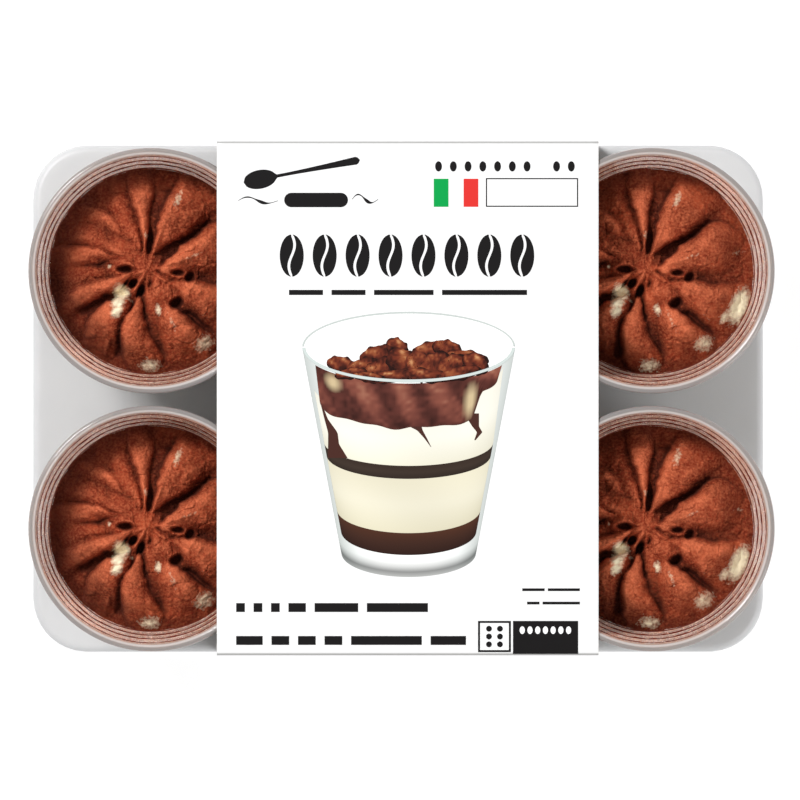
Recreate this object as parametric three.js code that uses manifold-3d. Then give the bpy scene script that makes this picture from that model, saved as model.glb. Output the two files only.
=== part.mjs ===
// A retail pack of six glass tumblers of tiramisu. The tumblers stand in a shallow thermoformed tray,
// and a printed card sleeve wraps round the middle of the tray and the glasses.
// Millimetres, +Z up. X runs along the three columns of glasses, Y across the two rows.
// The origin is at the bottom centre of the whole pack, on the surface that it lies on.

import * as THREE from "three";
import { mergeVertices } from "three/addons/utils/BufferGeometryUtils.js";
import Module from "manifold-3d";

const wasm = await Module();
wasm.setup();

// Gap between neighbouring solids, and the number of facets round a glass, its contents and a well.
// Corners that are closer to each other than WELD are one corner.
const GAP = 0.3;
const WELD = 1e-4;
const GLASS_FACETS = 32;
const FILL_FACETS = 20;
const WELL_FACETS = 24;

// Card sleeve: an open tube that runs along X.
const CARD = 0.5;
const SLEEVE_LENGTH = 111.3;
const SLEEVE_DEPTH = 150;
const SLEEVE_SHIFT_X = 1.8;
const FOLD_RADIUS = 1.2;
const FOLD_STEPS = 3;

// Tray: one sheet with a flat deck, a turned-down rim and a round well under each glass.
const SHEET = 0.8;
const TRAY_LENGTH = 213.5;
const TRAY_DEPTH = 147.6;
const TRAY_HEIGHT = 4.0;
const TRAY_CORNER = 15.2;
const TRAY_CORNER_STEPS = 6;
const TRAY_SHIFT = new THREE.Vector2(-1.0, -0.1);
const WELL_RADIUS = 25;
const WELL_MOUTH_FLARE = 1.0;
// How far a cutting solid reaches past the face that it opens.
const OVERCUT = 1;

// Glasses: three columns and two rows.
const COLUMNS = ["left", "middle", "right"];
const ROWS = ["front", "back"];
const COLUMN_PITCH = 73;
const ROW_PITCH = 75.2;
const ROW_SHIFT_Y = -0.4;

// One tumbler, measured from the underside of its own base.
const GLASS_HEIGHT = 74;
const RIM_RADIUS = 36;
const BASE_RADIUS = 23;
const BASE_THICKNESS = 7.5;
const WALL = 2.0;
const BASE_ROUND = 1.6;
const RIM_STEPS = 4;
const WALL_SLOPE = (RIM_RADIUS - BASE_RADIUS) / GLASS_HEIGHT;

// The layers, by the height of each one's upper face above the glass's underside.
const LAYERS = [
  { name: "soaked_sponge", top: 15.5, material: "sponge" },
  { name: "lower_cream", top: 32.0, material: "cream" },
  { name: "cocoa_band", top: 36.3, material: "chocolate" },
  { name: "upper_cream", top: 47.7, material: "cream" },
];

// The piped rosette: a floor that rises to the middle, and petals on it that sink towards the glass.
const ROSETTE_BOTTOM = 48.0;
const ROSETTE_FLOOR = 50.4;
const ROSETTE_MIDDLE_RISE = 3.4;
const ROSETTE_ANGLE_STEPS = 60;
const ROSETTE_RINGS = 8;
const HUB = new THREE.Vector2(-1.2, 0.6);
const HUB_HEIGHT = 5.6;
const HUB_RADIUS = 5.0;
const CREASE = 0.5;
const SINK_START = 20;
const SINK_SHARE = 0.6;
// Shares of a petal's length: where it has opened to its full angle and starts to close again, and where
// it has swollen to its full height and starts to fall.
const OPEN_BY = 0.3;
const CLOSE_FROM = 0.6;
const SWOLLEN_BY = 0.25;
const FALL_FROM = 0.45;
// Each petal: the direction of its middle halfway along, and how far it turns from start to end, in
// degrees; its start and end, in mm; the angle that it spans, in degrees; its height in mm; and where its
// crest lies, from -1 at the clockwise side to 1 at the anticlockwise side.
const PETALS = [
  { at: 169, turn: 14, start: 8, end: 32, span: 18, height: 7.2, crest: -0.5 },
  { at: 150, turn: 4, start: 4, end: 34, span: 25, height: 6.6, crest: 0.1 },
  { at: 133, turn: 16, start: 9, end: 33, span: 17, height: 7.4, crest: -0.2 },
  { at: 114, turn: 4, start: 3, end: 34, span: 30, height: 6.8, crest: 0.1 },
  { at: 94, turn: 4, start: 3, end: 36, span: 19, height: 8.6, crest: 0.2 },
  { at: 57, turn: -8, start: 3, end: 35, span: 38, height: 8.4, crest: 0.58 },
  { at: 14, turn: 6, start: 4, end: 29, span: 45, height: 9.6, crest: 0.52 },
  { at: -27, turn: 6, start: 7, end: 36, span: 37, height: 9.2, crest: 0.4 },
  { at: -64, turn: 6, start: 10, end: 36, span: 35, height: 9.2, crest: 0.4 },
  { at: -98, turn: 24, start: 7, end: 35, span: 28, height: 9.2, crest: -0.6 },
  { at: -125, turn: 6, start: 9, end: 30, span: 33, height: 9.0, crest: -0.55 },
  { at: -158, turn: 4, start: 3, end: 31, span: 22, height: 8.4, crest: -0.3 },
  { at: -172, turn: 8, start: 8, end: 33, span: 27, height: 5.4, crest: 0.0 },
  { at: -48, turn: 0, start: 0, end: 17, span: 66, height: 5.8, crest: 0.0 },
  { at: 132, turn: 0, start: 0, end: 31, span: 86, height: 5.2, crest: 0.0 },
];

const MATERIALS = {
  glass: { color: 0xe4ecea, roughness: 0.05, metalness: 0, transparent: true, opacity: 0.35 },
  cream: { color: 0xeee6cf, roughness: 0.55, metalness: 0 },
  chocolate: { color: 0x3b2a22, roughness: 0.45, metalness: 0 },
  sponge: { color: 0x4a2417, roughness: 0.6, metalness: 0 },
  cocoa: { color: 0x8a3f28, roughness: 0.9, metalness: 0 },
  tray: { color: 0xd2d2d2, roughness: 0.35, metalness: 0 },
  card: { color: 0xf7f7f5, roughness: 0.4, metalness: 0 },
};

// Heights of the stack: the sleeve's lower panel, the tray's sheet, then the glasses.
const TRAY_BOTTOM = CARD + GAP;
const GLASS_BOTTOM = TRAY_BOTTOM + SHEET + GAP;
const DECK = TRAY_BOTTOM + TRAY_HEIGHT;
const SLEEVE_HEIGHT = GLASS_BOTTOM + GLASS_HEIGHT + GAP + CARD;

// The inside radius of the glass at a height above its underside.
const innerRadius = (height) => RIM_RADIUS - WALL - (GLASS_HEIGHT - height) * WALL_SLOPE;

// The largest radius that the contents may have there, clear of the flats of a faceted glass.
const fillRadius = (height) => innerRadius(height) * Math.cos(Math.PI / GLASS_FACETS) - GAP;

function material(name) {
  return new THREE.MeshStandardMaterial(MATERIALS[name]);
}

// A three.js geometry as a manifold-3d solid, and back.
function toSolid(geometry) {
  const bare = geometry.clone();
  bare.deleteAttribute("normal");
  bare.deleteAttribute("uv");
  const merged = mergeVertices(bare, WELD);
  const mesh = new wasm.Mesh({
    numProp: 3,
    vertProperties: new Float32Array(merged.attributes.position.array),
    triVerts: new Uint32Array(merged.index.array),
  });
  return new wasm.Manifold(mesh);
}

function toGeometry(solid) {
  const mesh = solid.getMesh();
  const geometry = new THREE.BufferGeometry();
  geometry.setAttribute("position", new THREE.BufferAttribute(mesh.vertProperties, 3));
  geometry.setIndex(new THREE.BufferAttribute(mesh.triVerts, 1));
  const flat = geometry.toNonIndexed();
  flat.computeVertexNormals();
  return flat;
}

// A solid of revolution about +Z from a profile of [radius, height] pairs that runs anticlockwise.
function turned(profile, facets) {
  const points = profile.map(([radius, height]) => new THREE.Vector2(radius, height));
  return new THREE.LatheGeometry(points, facets).rotateX(Math.PI / 2);
}

// A rectangle with round corners, centred on the origin.
function roundedRectangle(width, height, radius, steps) {
  const points = [];
  const corners = [[1, 1], [-1, 1], [-1, -1], [1, -1]];
  corners.forEach(([sideX, sideY], quarter) => {
    for (let step = 0; step <= steps; step += 1) {
      const angle = (quarter + step / steps) * (Math.PI / 2);
      points.push(new THREE.Vector2(
        sideX * (width / 2 - radius) + radius * Math.cos(angle),
        sideY * (height / 2 - radius) + radius * Math.sin(angle),
      ));
    }
  });
  return points;
}

// A flat-ended block from an outline in XY, standing on height `bottom`.
function block(outline, bottom, top) {
  const shape = new THREE.Shape(outline);
  return new THREE.ExtrudeGeometry(shape, { depth: top - bottom, bevelEnabled: false })
    .translate(0, 0, bottom);
}

function sleeve() {
  const outer = new THREE.Shape(roundedRectangle(SLEEVE_DEPTH, SLEEVE_HEIGHT, FOLD_RADIUS, FOLD_STEPS));
  const inner = roundedRectangle(
    SLEEVE_DEPTH - 2 * CARD,
    SLEEVE_HEIGHT - 2 * CARD,
    FOLD_RADIUS - CARD,
    FOLD_STEPS,
  );
  outer.holes.push(new THREE.Path(inner));
  // The section lies in XY; turning it puts its width along Y, its height along Z and its length along X.
  const geometry = new THREE.ExtrudeGeometry(outer, { depth: SLEEVE_LENGTH, bevelEnabled: false })
    .translate(0, SLEEVE_HEIGHT / 2, -SLEEVE_LENGTH / 2)
    .rotateX(Math.PI / 2)
    .rotateZ(Math.PI / 2);
  const mesh = new THREE.Mesh(geometry, material("card"));
  mesh.name = "sleeve";
  mesh.position.x = SLEEVE_SHIFT_X;
  return mesh;
}

function glassPlaces() {
  return COLUMNS.flatMap((column, i) => ROWS.map((row, j) => ({
    name: `${row}_${column}`,
    x: (i - 1) * COLUMN_PITCH,
    y: (j - 0.5) * ROW_PITCH + ROW_SHIFT_Y,
  })));
}

function tray() {
  const outline = roundedRectangle(TRAY_LENGTH, TRAY_DEPTH, TRAY_CORNER, TRAY_CORNER_STEPS);
  const inside = roundedRectangle(
    TRAY_LENGTH - 2 * SHEET,
    TRAY_DEPTH - 2 * SHEET,
    TRAY_CORNER - SHEET,
    TRAY_CORNER_STEPS,
  );
  const lowest = -TRAY_HEIGHT;
  let sheet = toSolid(block(outline, lowest, 0)).subtract(toSolid(block(inside, lowest - OVERCUT, -SHEET)));
  // A well is a shallow dish whose mouth flares out to the deck.
  const wellOutside = turned([
    [0, lowest],
    [WELL_RADIUS + SHEET, lowest],
    [WELL_RADIUS + WELL_MOUTH_FLARE + SHEET, -SHEET / 2],
    [0, -SHEET / 2],
  ], WELL_FACETS);
  const wellInside = turned([
    [0, lowest + SHEET],
    [WELL_RADIUS, lowest + SHEET],
    [WELL_RADIUS + WELL_MOUTH_FLARE, 0],
    [WELL_RADIUS + WELL_MOUTH_FLARE, OVERCUT],
    [0, OVERCUT],
  ], WELL_FACETS);
  const wells = glassPlaces().map(({ x, y }) => [x - TRAY_SHIFT.x, y - TRAY_SHIFT.y, 0]);
  wells.forEach((place) => {
    sheet = sheet.add(toSolid(wellOutside).translate(place));
  });
  wells.forEach((place) => {
    sheet = sheet.subtract(toSolid(wellInside).translate(place));
  });
  const mesh = new THREE.Mesh(toGeometry(sheet), material("tray"));
  mesh.name = "tray";
  mesh.position.set(TRAY_SHIFT.x, TRAY_SHIFT.y, DECK);
  return mesh;
}

// A tumbler with straight flared sides, a thick base and a rim that is half round.
function tumbler() {
  const outerAt = (height) => BASE_RADIUS + height * WALL_SLOPE;
  const rim = WALL / 2;
  const rimHeight = GLASS_HEIGHT - rim;
  const rimRound = Array.from({ length: RIM_STEPS + 1 }, (_, step) => [
    outerAt(rimHeight) - rim + rim * Math.cos((step / RIM_STEPS) * Math.PI),
    rimHeight + rim * Math.sin((step / RIM_STEPS) * Math.PI),
  ]);
  return turned([
    [0, 0],
    [BASE_RADIUS - BASE_ROUND, 0],
    [outerAt(BASE_ROUND), BASE_ROUND],
    ...rimRound,
    [innerRadius(BASE_THICKNESS + BASE_ROUND), BASE_THICKNESS + BASE_ROUND],
    [innerRadius(BASE_THICKNESS) - BASE_ROUND, BASE_THICKNESS],
    [0, BASE_THICKNESS],
  ], GLASS_FACETS);
}

// One layer of the dessert: a flat disc with the glass's taper.
function layer(bottom, top) {
  return turned([
    [0, bottom],
    [fillRadius(bottom), bottom],
    [fillRadius(top), top],
    [0, top],
  ], FILL_FACETS);
}

// The lowest layer also follows the round at the foot of the glass's inside.
function lowestLayer(bottom, top) {
  const shoulder = bottom + BASE_ROUND;
  return turned([
    [0, bottom],
    [fillRadius(bottom) - BASE_ROUND, bottom],
    [fillRadius(shoulder), shoulder],
    [fillRadius(top), top],
    [0, top],
  ], FILL_FACETS);
}

const clamp01 = (value) => Math.min(1, Math.max(0, value));

// From 0 to 1 and back to 0 along a length: full at the share `risen`, falling from the share `falling`.
const rounding = (along, risen, falling) => Math.sqrt(clamp01(along / risen))
  * Math.sqrt(1 - clamp01((along - falling) / (1 - falling)) ** 2);

// How far one petal stands above the rosette's floor at a point given from the hub. It is a ridge along a
// slightly curved ray. It spans a constant angle that closes at both ends in a round, and across it is
// half an ellipse on each side of its crest.
function petalHeight(petal, reach, angle) {
  const along = (reach - petal.start) / (petal.end - petal.start);
  if (along <= 0 || along >= 1) return 0;
  const middle = THREE.MathUtils.degToRad(petal.at + petal.turn * (along - 0.5));
  const away = Math.atan2(Math.sin(angle - middle), Math.cos(angle - middle));
  const half = THREE.MathUtils.degToRad(petal.span / 2) * rounding(along, OPEN_BY, CLOSE_FROM);
  const across = away / half;
  if (Math.abs(across) >= 1) return 0;
  const reachOfSide = across > petal.crest ? 1 - petal.crest : 1 + petal.crest;
  const section = Math.sqrt(1 - ((across - petal.crest) / reachOfSide) ** 2);
  return petal.height * section * rounding(along, SWOLLEN_BY, FALL_FROM);
}

// The rosette's upper face: the floor, the hub and the petals, joined so that only a small crease stays.
function rosetteHeight(x, y) {
  const radius = Math.hypot(x, y);
  const reach = Math.hypot(x - HUB.x, y - HUB.y);
  const angle = Math.atan2(y - HUB.y, x - HUB.x);
  const wall = innerRadius(ROSETTE_FLOOR);
  const floor = ROSETTE_FLOOR + ROSETTE_MIDDLE_RISE * (1 - (radius / wall) ** 2);
  const bumps = PETALS.map((petal) => petalHeight(petal, reach, angle));
  bumps.push(HUB_HEIGHT * Math.exp(-((reach / HUB_RADIUS) ** 2)));
  const joined = bumps.reduce((sum, bump) => sum + Math.exp(bump / CREASE), 0);
  const outward = clamp01((radius - SINK_START) / (wall - SINK_START));
  const kept = 1 - SINK_SHARE * outward ** 2 * (3 - 2 * outward);
  return floor + kept * CREASE * (Math.log(joined) - Math.log(bumps.length));
}

// The rosette: rings of points from the middle out to the glass, over a flat underside.
function rosette() {
  const turns = Array.from({ length: ROSETTE_ANGLE_STEPS }, (_, i) => (2 * Math.PI * i) / ROSETTE_ANGLE_STEPS);
  const edge = fillRadius(ROSETTE_FLOOR);
  const points = [0, 0, rosetteHeight(0, 0)];
  for (let ring = 1; ring <= ROSETTE_RINGS; ring += 1) {
    turns.forEach((angle) => {
      const radius = (edge * ring) / ROSETTE_RINGS;
      const x = radius * Math.cos(angle);
      const y = radius * Math.sin(angle);
      points.push(x, y, rosetteHeight(x, y));
    });
  }
  const foot = fillRadius(ROSETTE_BOTTOM);
  turns.forEach((angle) => {
    points.push(foot * Math.cos(angle), foot * Math.sin(angle), ROSETTE_BOTTOM);
  });
  points.push(0, 0, ROSETTE_BOTTOM);

  const ringStart = (ring) => 1 + (ring - 1) * ROSETTE_ANGLE_STEPS;
  const last = ringStart(ROSETTE_RINGS + 1) + ROSETTE_ANGLE_STEPS;
  const faces = [];
  turns.forEach((_, i) => {
    const next = (i + 1) % ROSETTE_ANGLE_STEPS;
    faces.push(0, ringStart(1) + i, ringStart(1) + next);
    for (let ring = 1; ring <= ROSETTE_RINGS; ring += 1) {
      const inner = ringStart(ring);
      const outer = ringStart(ring + 1);
      faces.push(inner + i, outer + i, outer + next, inner + i, outer + next, inner + next);
    }
    const lowest = ringStart(ROSETTE_RINGS + 1);
    faces.push(last, lowest + next, lowest + i);
  });
  const geometry = new THREE.BufferGeometry();
  geometry.setAttribute("position", new THREE.Float32BufferAttribute(points, 3));
  geometry.setIndex(faces);
  const flat = geometry.toNonIndexed();
  flat.computeVertexNormals();
  return flat;
}

// One filled glass: the tumbler, its four layers and the rosette, each a mesh of its own.
function filledGlass({ name, x, y }) {
  const group = new THREE.Group();
  const add = (part, geometry, materialName) => {
    const mesh = new THREE.Mesh(geometry, material(materialName));
    mesh.name = `${part}_${name}`;
    group.add(mesh);
  };
  add("glass", tumbler(), "glass");
  let bottom = BASE_THICKNESS + GAP;
  LAYERS.forEach((part, i) => {
    const geometry = i === 0 ? lowestLayer(bottom, part.top) : layer(bottom, part.top);
    add(part.name, geometry, part.material);
    bottom = part.top + GAP;
  });
  add("rosette", rosette(), "cocoa");
  group.position.set(x, y, GLASS_BOTTOM);
  return group;
}

const pack = new THREE.Group();
pack.add(sleeve(), tray(), ...glassPlaces().map(filledGlass));

export default pack;
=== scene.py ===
# %% [markdown]
# # A pack of tiramisu in glasses
# The object is a retail pack: six tumblers of layered dessert stand in a shallow plastic tray, and an
# open-ended card sleeve holds tray and glasses together. The solids of the pack come ready made. This
# lesson dresses them: glass that bends light, whipped cream under cocoa powder, thermoformed plastic and
# printed card. The first cell loads the solids as a fixed frame, and every later size is measured on it.

# %% Load the frame
import math

import bpy
import numpy as np
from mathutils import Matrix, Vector


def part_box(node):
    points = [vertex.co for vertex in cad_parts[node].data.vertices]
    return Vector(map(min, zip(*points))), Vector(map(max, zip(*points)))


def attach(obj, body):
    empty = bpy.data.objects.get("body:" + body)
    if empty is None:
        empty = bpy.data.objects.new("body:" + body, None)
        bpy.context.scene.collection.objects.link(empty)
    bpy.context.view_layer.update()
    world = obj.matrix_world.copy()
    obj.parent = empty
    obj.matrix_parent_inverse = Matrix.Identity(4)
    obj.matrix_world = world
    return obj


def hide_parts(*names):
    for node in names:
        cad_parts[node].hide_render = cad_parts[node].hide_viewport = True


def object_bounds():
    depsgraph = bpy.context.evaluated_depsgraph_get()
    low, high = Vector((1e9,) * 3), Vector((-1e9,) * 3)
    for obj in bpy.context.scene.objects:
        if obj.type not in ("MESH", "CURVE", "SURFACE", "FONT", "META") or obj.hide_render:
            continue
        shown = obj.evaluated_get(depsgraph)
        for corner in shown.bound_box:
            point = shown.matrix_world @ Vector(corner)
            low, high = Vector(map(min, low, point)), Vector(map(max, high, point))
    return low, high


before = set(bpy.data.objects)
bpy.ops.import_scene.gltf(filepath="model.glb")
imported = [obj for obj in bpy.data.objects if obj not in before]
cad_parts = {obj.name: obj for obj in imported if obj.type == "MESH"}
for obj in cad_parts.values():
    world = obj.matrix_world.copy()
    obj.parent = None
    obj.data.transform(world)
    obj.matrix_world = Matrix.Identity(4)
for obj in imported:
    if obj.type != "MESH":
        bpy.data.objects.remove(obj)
CAD_BOX = [list(corner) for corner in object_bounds()]
scene = bpy.context.scene
print("frame:", len(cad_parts), "solids, box", CAD_BOX)

# %% [markdown]
# ## Units and places
# Blender works in metres here, and the kitchen and packaging sizes are easier to read in millimetres, so
# MM turns one into the other. Each glass is found from its own solid: its axis is the middle of the box.

# %% Places of the glasses
MM = 0.001
PLACES = [f"{row}_{column}" for column in ("left", "middle", "right") for row in ("front", "back")]


def axis_of(place):
    """The point in the middle of a glass as seen from above, from the box of its solid."""
    low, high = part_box(f"glass_{place}")
    return np.array([(low.x + high.x) / 2, (low.y + high.y) / 2])


AXES = {place: axis_of(place) for place in PLACES}
GLASS_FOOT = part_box("glass_front_left")[0].z
GLASS_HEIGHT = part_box("glass_front_left")[1].z - GLASS_FOOT
print("glass foot at", round(GLASS_FOOT / MM, 2), "mm, glass height", round(GLASS_HEIGHT / MM, 2), "mm")

# %% [markdown]
# ## The camera
# The picture is taken straight from above with a long lens, so the walls of the glasses hardly lean. The
# frame is 800 pixels wide and one pixel is 0.2915 mm at the height of the sleeve. With a 1000 mm lens on
# a 36 mm sensor, the distance follows from similar triangles: distance / frame width = lens / sensor.

# %% Camera
FRAME_WIDTH = 800 * 0.2915 * MM
LENS = 1000.0
SENSOR = 36.0
AIM = (-0.44 * MM, -0.50 * MM)

camera_data = bpy.data.cameras.new("camera")
camera_data.lens = LENS
camera_data.sensor_width = SENSOR
camera = bpy.data.objects.new("camera", camera_data)
camera.location = (*AIM, CAD_BOX[1][2] + FRAME_WIDTH * LENS / SENSOR)
scene.collection.objects.link(camera)
scene.camera = camera
scene.view_settings.view_transform = "Standard"
print("camera", round(camera.location.z, 3), "m above the table")

# %% [markdown]
# ## Turning grids of points into pieces
# Nearly every piece here is a surface worked out with numpy as rows of points. Four small helpers turn
# such a grid into a Blender object: one lists the faces of a grid, one closes a stack of rings with a
# point at each end, one puts points, faces and material into a mesh that rides on the frame, and one
# stores a number on each point of it.

# %% Mesh helpers
def grid_faces(rows, columns, wrap_columns=True, wrap_rows=False):
    """The corners of each face of a grid: a point, the next in its row, and the two in the row above."""
    row = np.arange(rows if wrap_rows else rows - 1)[:, None]
    column = np.arange(columns if wrap_columns else columns - 1)[None, :]
    above = (row + 1) % rows * columns
    beside = (column + 1) % columns
    corners = [row * columns + column, row * columns + beside, above + beside, above + column]
    return np.stack([np.broadcast_to(c, (row.size, column.size)) for c in corners], axis=-1).reshape(-1, 4)


def closed_rings(rings, first, last):
    """Points and faces of a skin over a stack of rings, closed by one point below and one above.

    rings is an array of rings x points x 3. Each ring runs anticlockwise seen from above.
    """
    count, around = rings.shape[:2]
    points = np.concatenate([[first], rings.reshape(-1, 3), [last]])
    here = 1 + np.arange(around)
    beside = 1 + (np.arange(around) + 1) % around
    top = (count - 1) * around
    low_fan = np.stack([np.zeros(around, int), beside, here], axis=-1)
    high_fan = np.stack([here + top, beside + top, np.full(around, len(points) - 1)], axis=-1)
    return points, (grid_faces(count, around) + 1).tolist() + low_fan.tolist() + high_fan.tolist()


def new_piece(name, points, faces, material, slot=None, smooth=True):
    """A mesh at the origin that rides on the pack, with one material. The argument slot is not used."""
    mesh = bpy.data.meshes.new(name)
    mesh.from_pydata(points.tolist(), [], faces if isinstance(faces, list) else faces.tolist())
    mesh.polygons.foreach_set("use_smooth", np.full(len(mesh.polygons), smooth))
    mesh.materials.append(material)
    piece = bpy.data.objects.new(name, mesh)
    scene.collection.objects.link(piece)
    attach(piece, "root")
    return piece


def set_attribute(piece, name, values):
    """Stores one number for each point of a piece, for its material to read."""
    numbers = np.asarray(values, np.float32)
    piece.data.attributes.new(name, "FLOAT", "POINT").data.foreach_set("value", numbers)


print("faces of a grid of 2 rows of 3 points:", grid_faces(2, 3, wrap_columns=False).tolist())

# %% [markdown]
# ## Writing materials
# A material is a small graph of nodes. One function adds a node with its settings and its links, one fills
# in a node's inputs, and one turns the familiar sRGB hex colours into the linear numbers that the shader
# works with. Every pattern gets its scale from a size on the real thing: two blotches of a noise, a light
# one and a dark one, go into one period of it, so its scale is half of one over the size. Sockets that
# share a name are called by number: a mix of two colours takes its share at 0 and the colours at 6 and 7,
# and gives its result at 2.

# %% Material helpers
def linear(hex_colour):
    """An sRGB hex colour as linear red, green, blue and alpha."""
    channels = np.array([int(hex_colour[i:i + 2], 16) for i in (1, 3, 5)]) / 255
    straight = np.where(channels <= 0.04045, channels / 12.92, ((channels + 0.055) / 1.055) ** 2.4)
    return (*straight, 1.0)


def fill(node, inputs):
    """Fills in inputs of a node: a socket is linked, a hex colour made linear, another value set."""
    for name, value in inputs.items():
        if isinstance(value, bpy.types.NodeSocket):
            node.id_data.links.new(value, node.inputs[name])
        else:
            node.inputs[name].default_value = linear(value) if isinstance(value, str) else value


def add(tree, kind, inputs=None, output=0, stops=(), **settings):
    """Adds a node of a kind and returns one of its outputs. A ramp's stops are (place, hex colour)."""
    node = tree.nodes.new("ShaderNode" + kind)
    for name, value in settings.items():
        setattr(node, name, value)
    for _ in stops[2:]:
        node.color_ramp.elements.new(0.5)
    for number, (place, colour) in enumerate(stops):
        node.color_ramp.elements[number].position = place
        node.color_ramp.elements[number].color = linear(colour)
    fill(node, inputs or {})
    return node.outputs[output]


def new_material(name, **finish):
    """A material and its tree and Principled shader, whose inputs are named with _ for a space."""
    material = bpy.data.materials.new(name)
    material.use_nodes = True
    shader = material.node_tree.nodes["Principled BSDF"]
    fill(shader, {socket.replace("_", " "): value for socket, value in finish.items()})
    print("material:", name)
    return material, material.node_tree, shader


def blotches(size, detail=3, roughness=0.55):
    """Settings of a noise whose blotches are about size metres wide: its scale is 0.5 / size."""
    return {"Scale": 0.5 / size, "Detail": detail, "Roughness": roughness}


print("mid grey in linear light:", np.round(linear("#808080"), 3))

# %% [markdown]
# ## The tumblers
# Each tumbler is pressed soda-lime glass: a thick base, straight flared sides and a rim that was rounded
# in a flame. A vertical section of it is one outline, so a lathe makes it. The glass must be a closed
# body with its true wall, because light bends where it enters and where it leaves, and a single skin
# would look like film. The outline is straight lines joined by arcs, with enough points to stay round.

# %% Section of a tumbler
RIM_RADIUS = 36 * MM
BASE_RADIUS = 23 * MM
BASE_THICKNESS = 7.5 * MM
WALL = 2.0 * MM
BASE_ROUND = 1.6 * MM
PUNT = 0.5 * MM
PUNT_EDGE = 4 * MM
POLE_HOLE = 0.5 * MM
SLOPE = (RIM_RADIUS - BASE_RADIUS) / GLASS_HEIGHT


def outer_radius(height):
    """Outside radius at a height above the foot: a straight line from base to rim."""
    return BASE_RADIUS + SLOPE * height


def inner_radius(height):
    """Inside radius at a height above the foot: the outside less the wall."""
    return outer_radius(height) - WALL


def arc(middle, radius, start, end, steps):
    """Points on an arc: middle + radius * (cos, sin) for angles in degrees from start to end."""
    turn = np.radians(np.linspace(start, end, steps))
    return np.column_stack([middle[0] + radius * np.cos(turn), middle[1] + radius * np.sin(turn)])


def line(start, end, steps):
    """Evenly spaced points from start to end, both ends included."""
    return np.linspace(start, end, steps)


def tumbler_section():
    """The outline from the middle of the underside, up the outside, over the rim and down inside."""
    lean = math.degrees(math.atan(SLOPE))
    rim = WALL / 2
    foot = arc((BASE_RADIUS - BASE_ROUND, BASE_ROUND), BASE_ROUND, -90, -lean, 8)
    rim_height = GLASS_HEIGHT - rim
    lip = arc((outer_radius(rim_height) - rim, rim_height), rim, -lean, 180 - lean, 15)
    well_height = BASE_THICKNESS + BASE_ROUND
    well_flat = inner_radius(well_height) - BASE_ROUND
    well = arc((well_flat, well_height), BASE_ROUND, -lean, -90, 8)
    return np.concatenate([
        line((POLE_HOLE, PUNT), (BASE_RADIUS - PUNT_EDGE - 1 * MM, PUNT), 4),
        line((BASE_RADIUS - PUNT_EDGE, 0), (BASE_RADIUS - BASE_ROUND - 0.3 * MM, 0), 3),
        foot, line(foot[-1], lip[0], 26)[1:-1], lip, line(lip[-1], well[0], 26)[1:-1], well,
        line((well_flat - 1 * MM, BASE_THICKNESS), (POLE_HOLE, BASE_THICKNESS), 5),
    ])


SECTION = tumbler_section()
print("tumbler outline:", len(SECTION), "points")

# %% [markdown]
# The lathe is a formula: each point of the outline becomes a ring, and the point's distance from the
# axis is the ring's radius.

# %% Lathe
def lathe(section, axis, turns, foot=0.0):
    """Rings of a section of (radius, height): axis + radius * (cos, sin), foot + height."""
    angle = 2 * np.pi * np.arange(turns) / turns
    radius, height = section[:, 0, None], section[:, 1, None]
    across = [axis[0] + radius * np.cos(angle), axis[1] + radius * np.sin(angle)]
    return np.stack([*across, foot + height + 0 * angle], axis=-1)


print("rings, points and coordinates of a lathe of 8 turns:", lathe(SECTION, (0, 0), 8).shape)

# %% [markdown]
# ### Soda-lime glass
# Clear glass bends light by an index of 1.52, and takes hardly any colour out of it. Pressing
# leaves faint waves in the surface, which keep the highlights from looking drawn with a ruler. The rim
# was cut and softened in a flame, which left it satin. Its colour is painted: greyish for what shows
# through it, and paler on its inner half, which is a painted highlight. How far a point lies across the
# rim, from the inside out, rides on the mesh as a number. So does a haze of the finest cocoa dust on the
# inside, above the dessert: like dust on any pane it can hardly be seen from the front and is bright
# along the glass, which is what the sheen of a shader does.

# %% Material: soda-lime glass
GLASS, tree, shader = new_material("pressed_soda_lime_glass", Base_Color="#FDFDFC", IOR=1.52,
                                   Sheen_Roughness=0.38, Sheen_Tint="#FFAA82")
rim, haze = (add(tree, "Attribute", output="Fac", attribute_name=name) for name in ("rim", "dusted"))
waves = add(tree, "TexNoise", {"Vector": add(tree, "TexCoord", output="Object"), **blotches(9 * MM, 1)})
clear, rough = (add(tree, "MapRange", {"Value": rim, "From Max": 0.4, "To Min": at_wall, "To Max": at_rim})
                for at_wall, at_rim in ((1.0, 0.4), (0.0, 0.16)))
# The ramp paints the rim grey for what shows through it, and paler on its inner half as a painted highlight.
fill(shader, {
    "Base Color": add(tree, "ValToRGB", {"Fac": rim},
                      stops=[(0.0, "#FDFDFC"), (0.5, "#F1EAE6"), (0.62, "#A59F9D"), (1.0, "#B4AFAE")]),
    "Transmission Weight": clear,
    "Roughness": rough,
    "Sheen Weight": haze,
    "Normal": add(tree, "Bump", {"Height": waves, "Distance": 0.02 * MM}),
})

# %% [markdown]
# The two numbers are worked out on the outline and then repeated for each point round the ring. The
# rim's number rises from 0.4 to 1 across the wall, and only on the last millimetre of the height. The
# haze starts over 2 mm just under the edge of the dessert, and only on the inner side of the wall.

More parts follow.
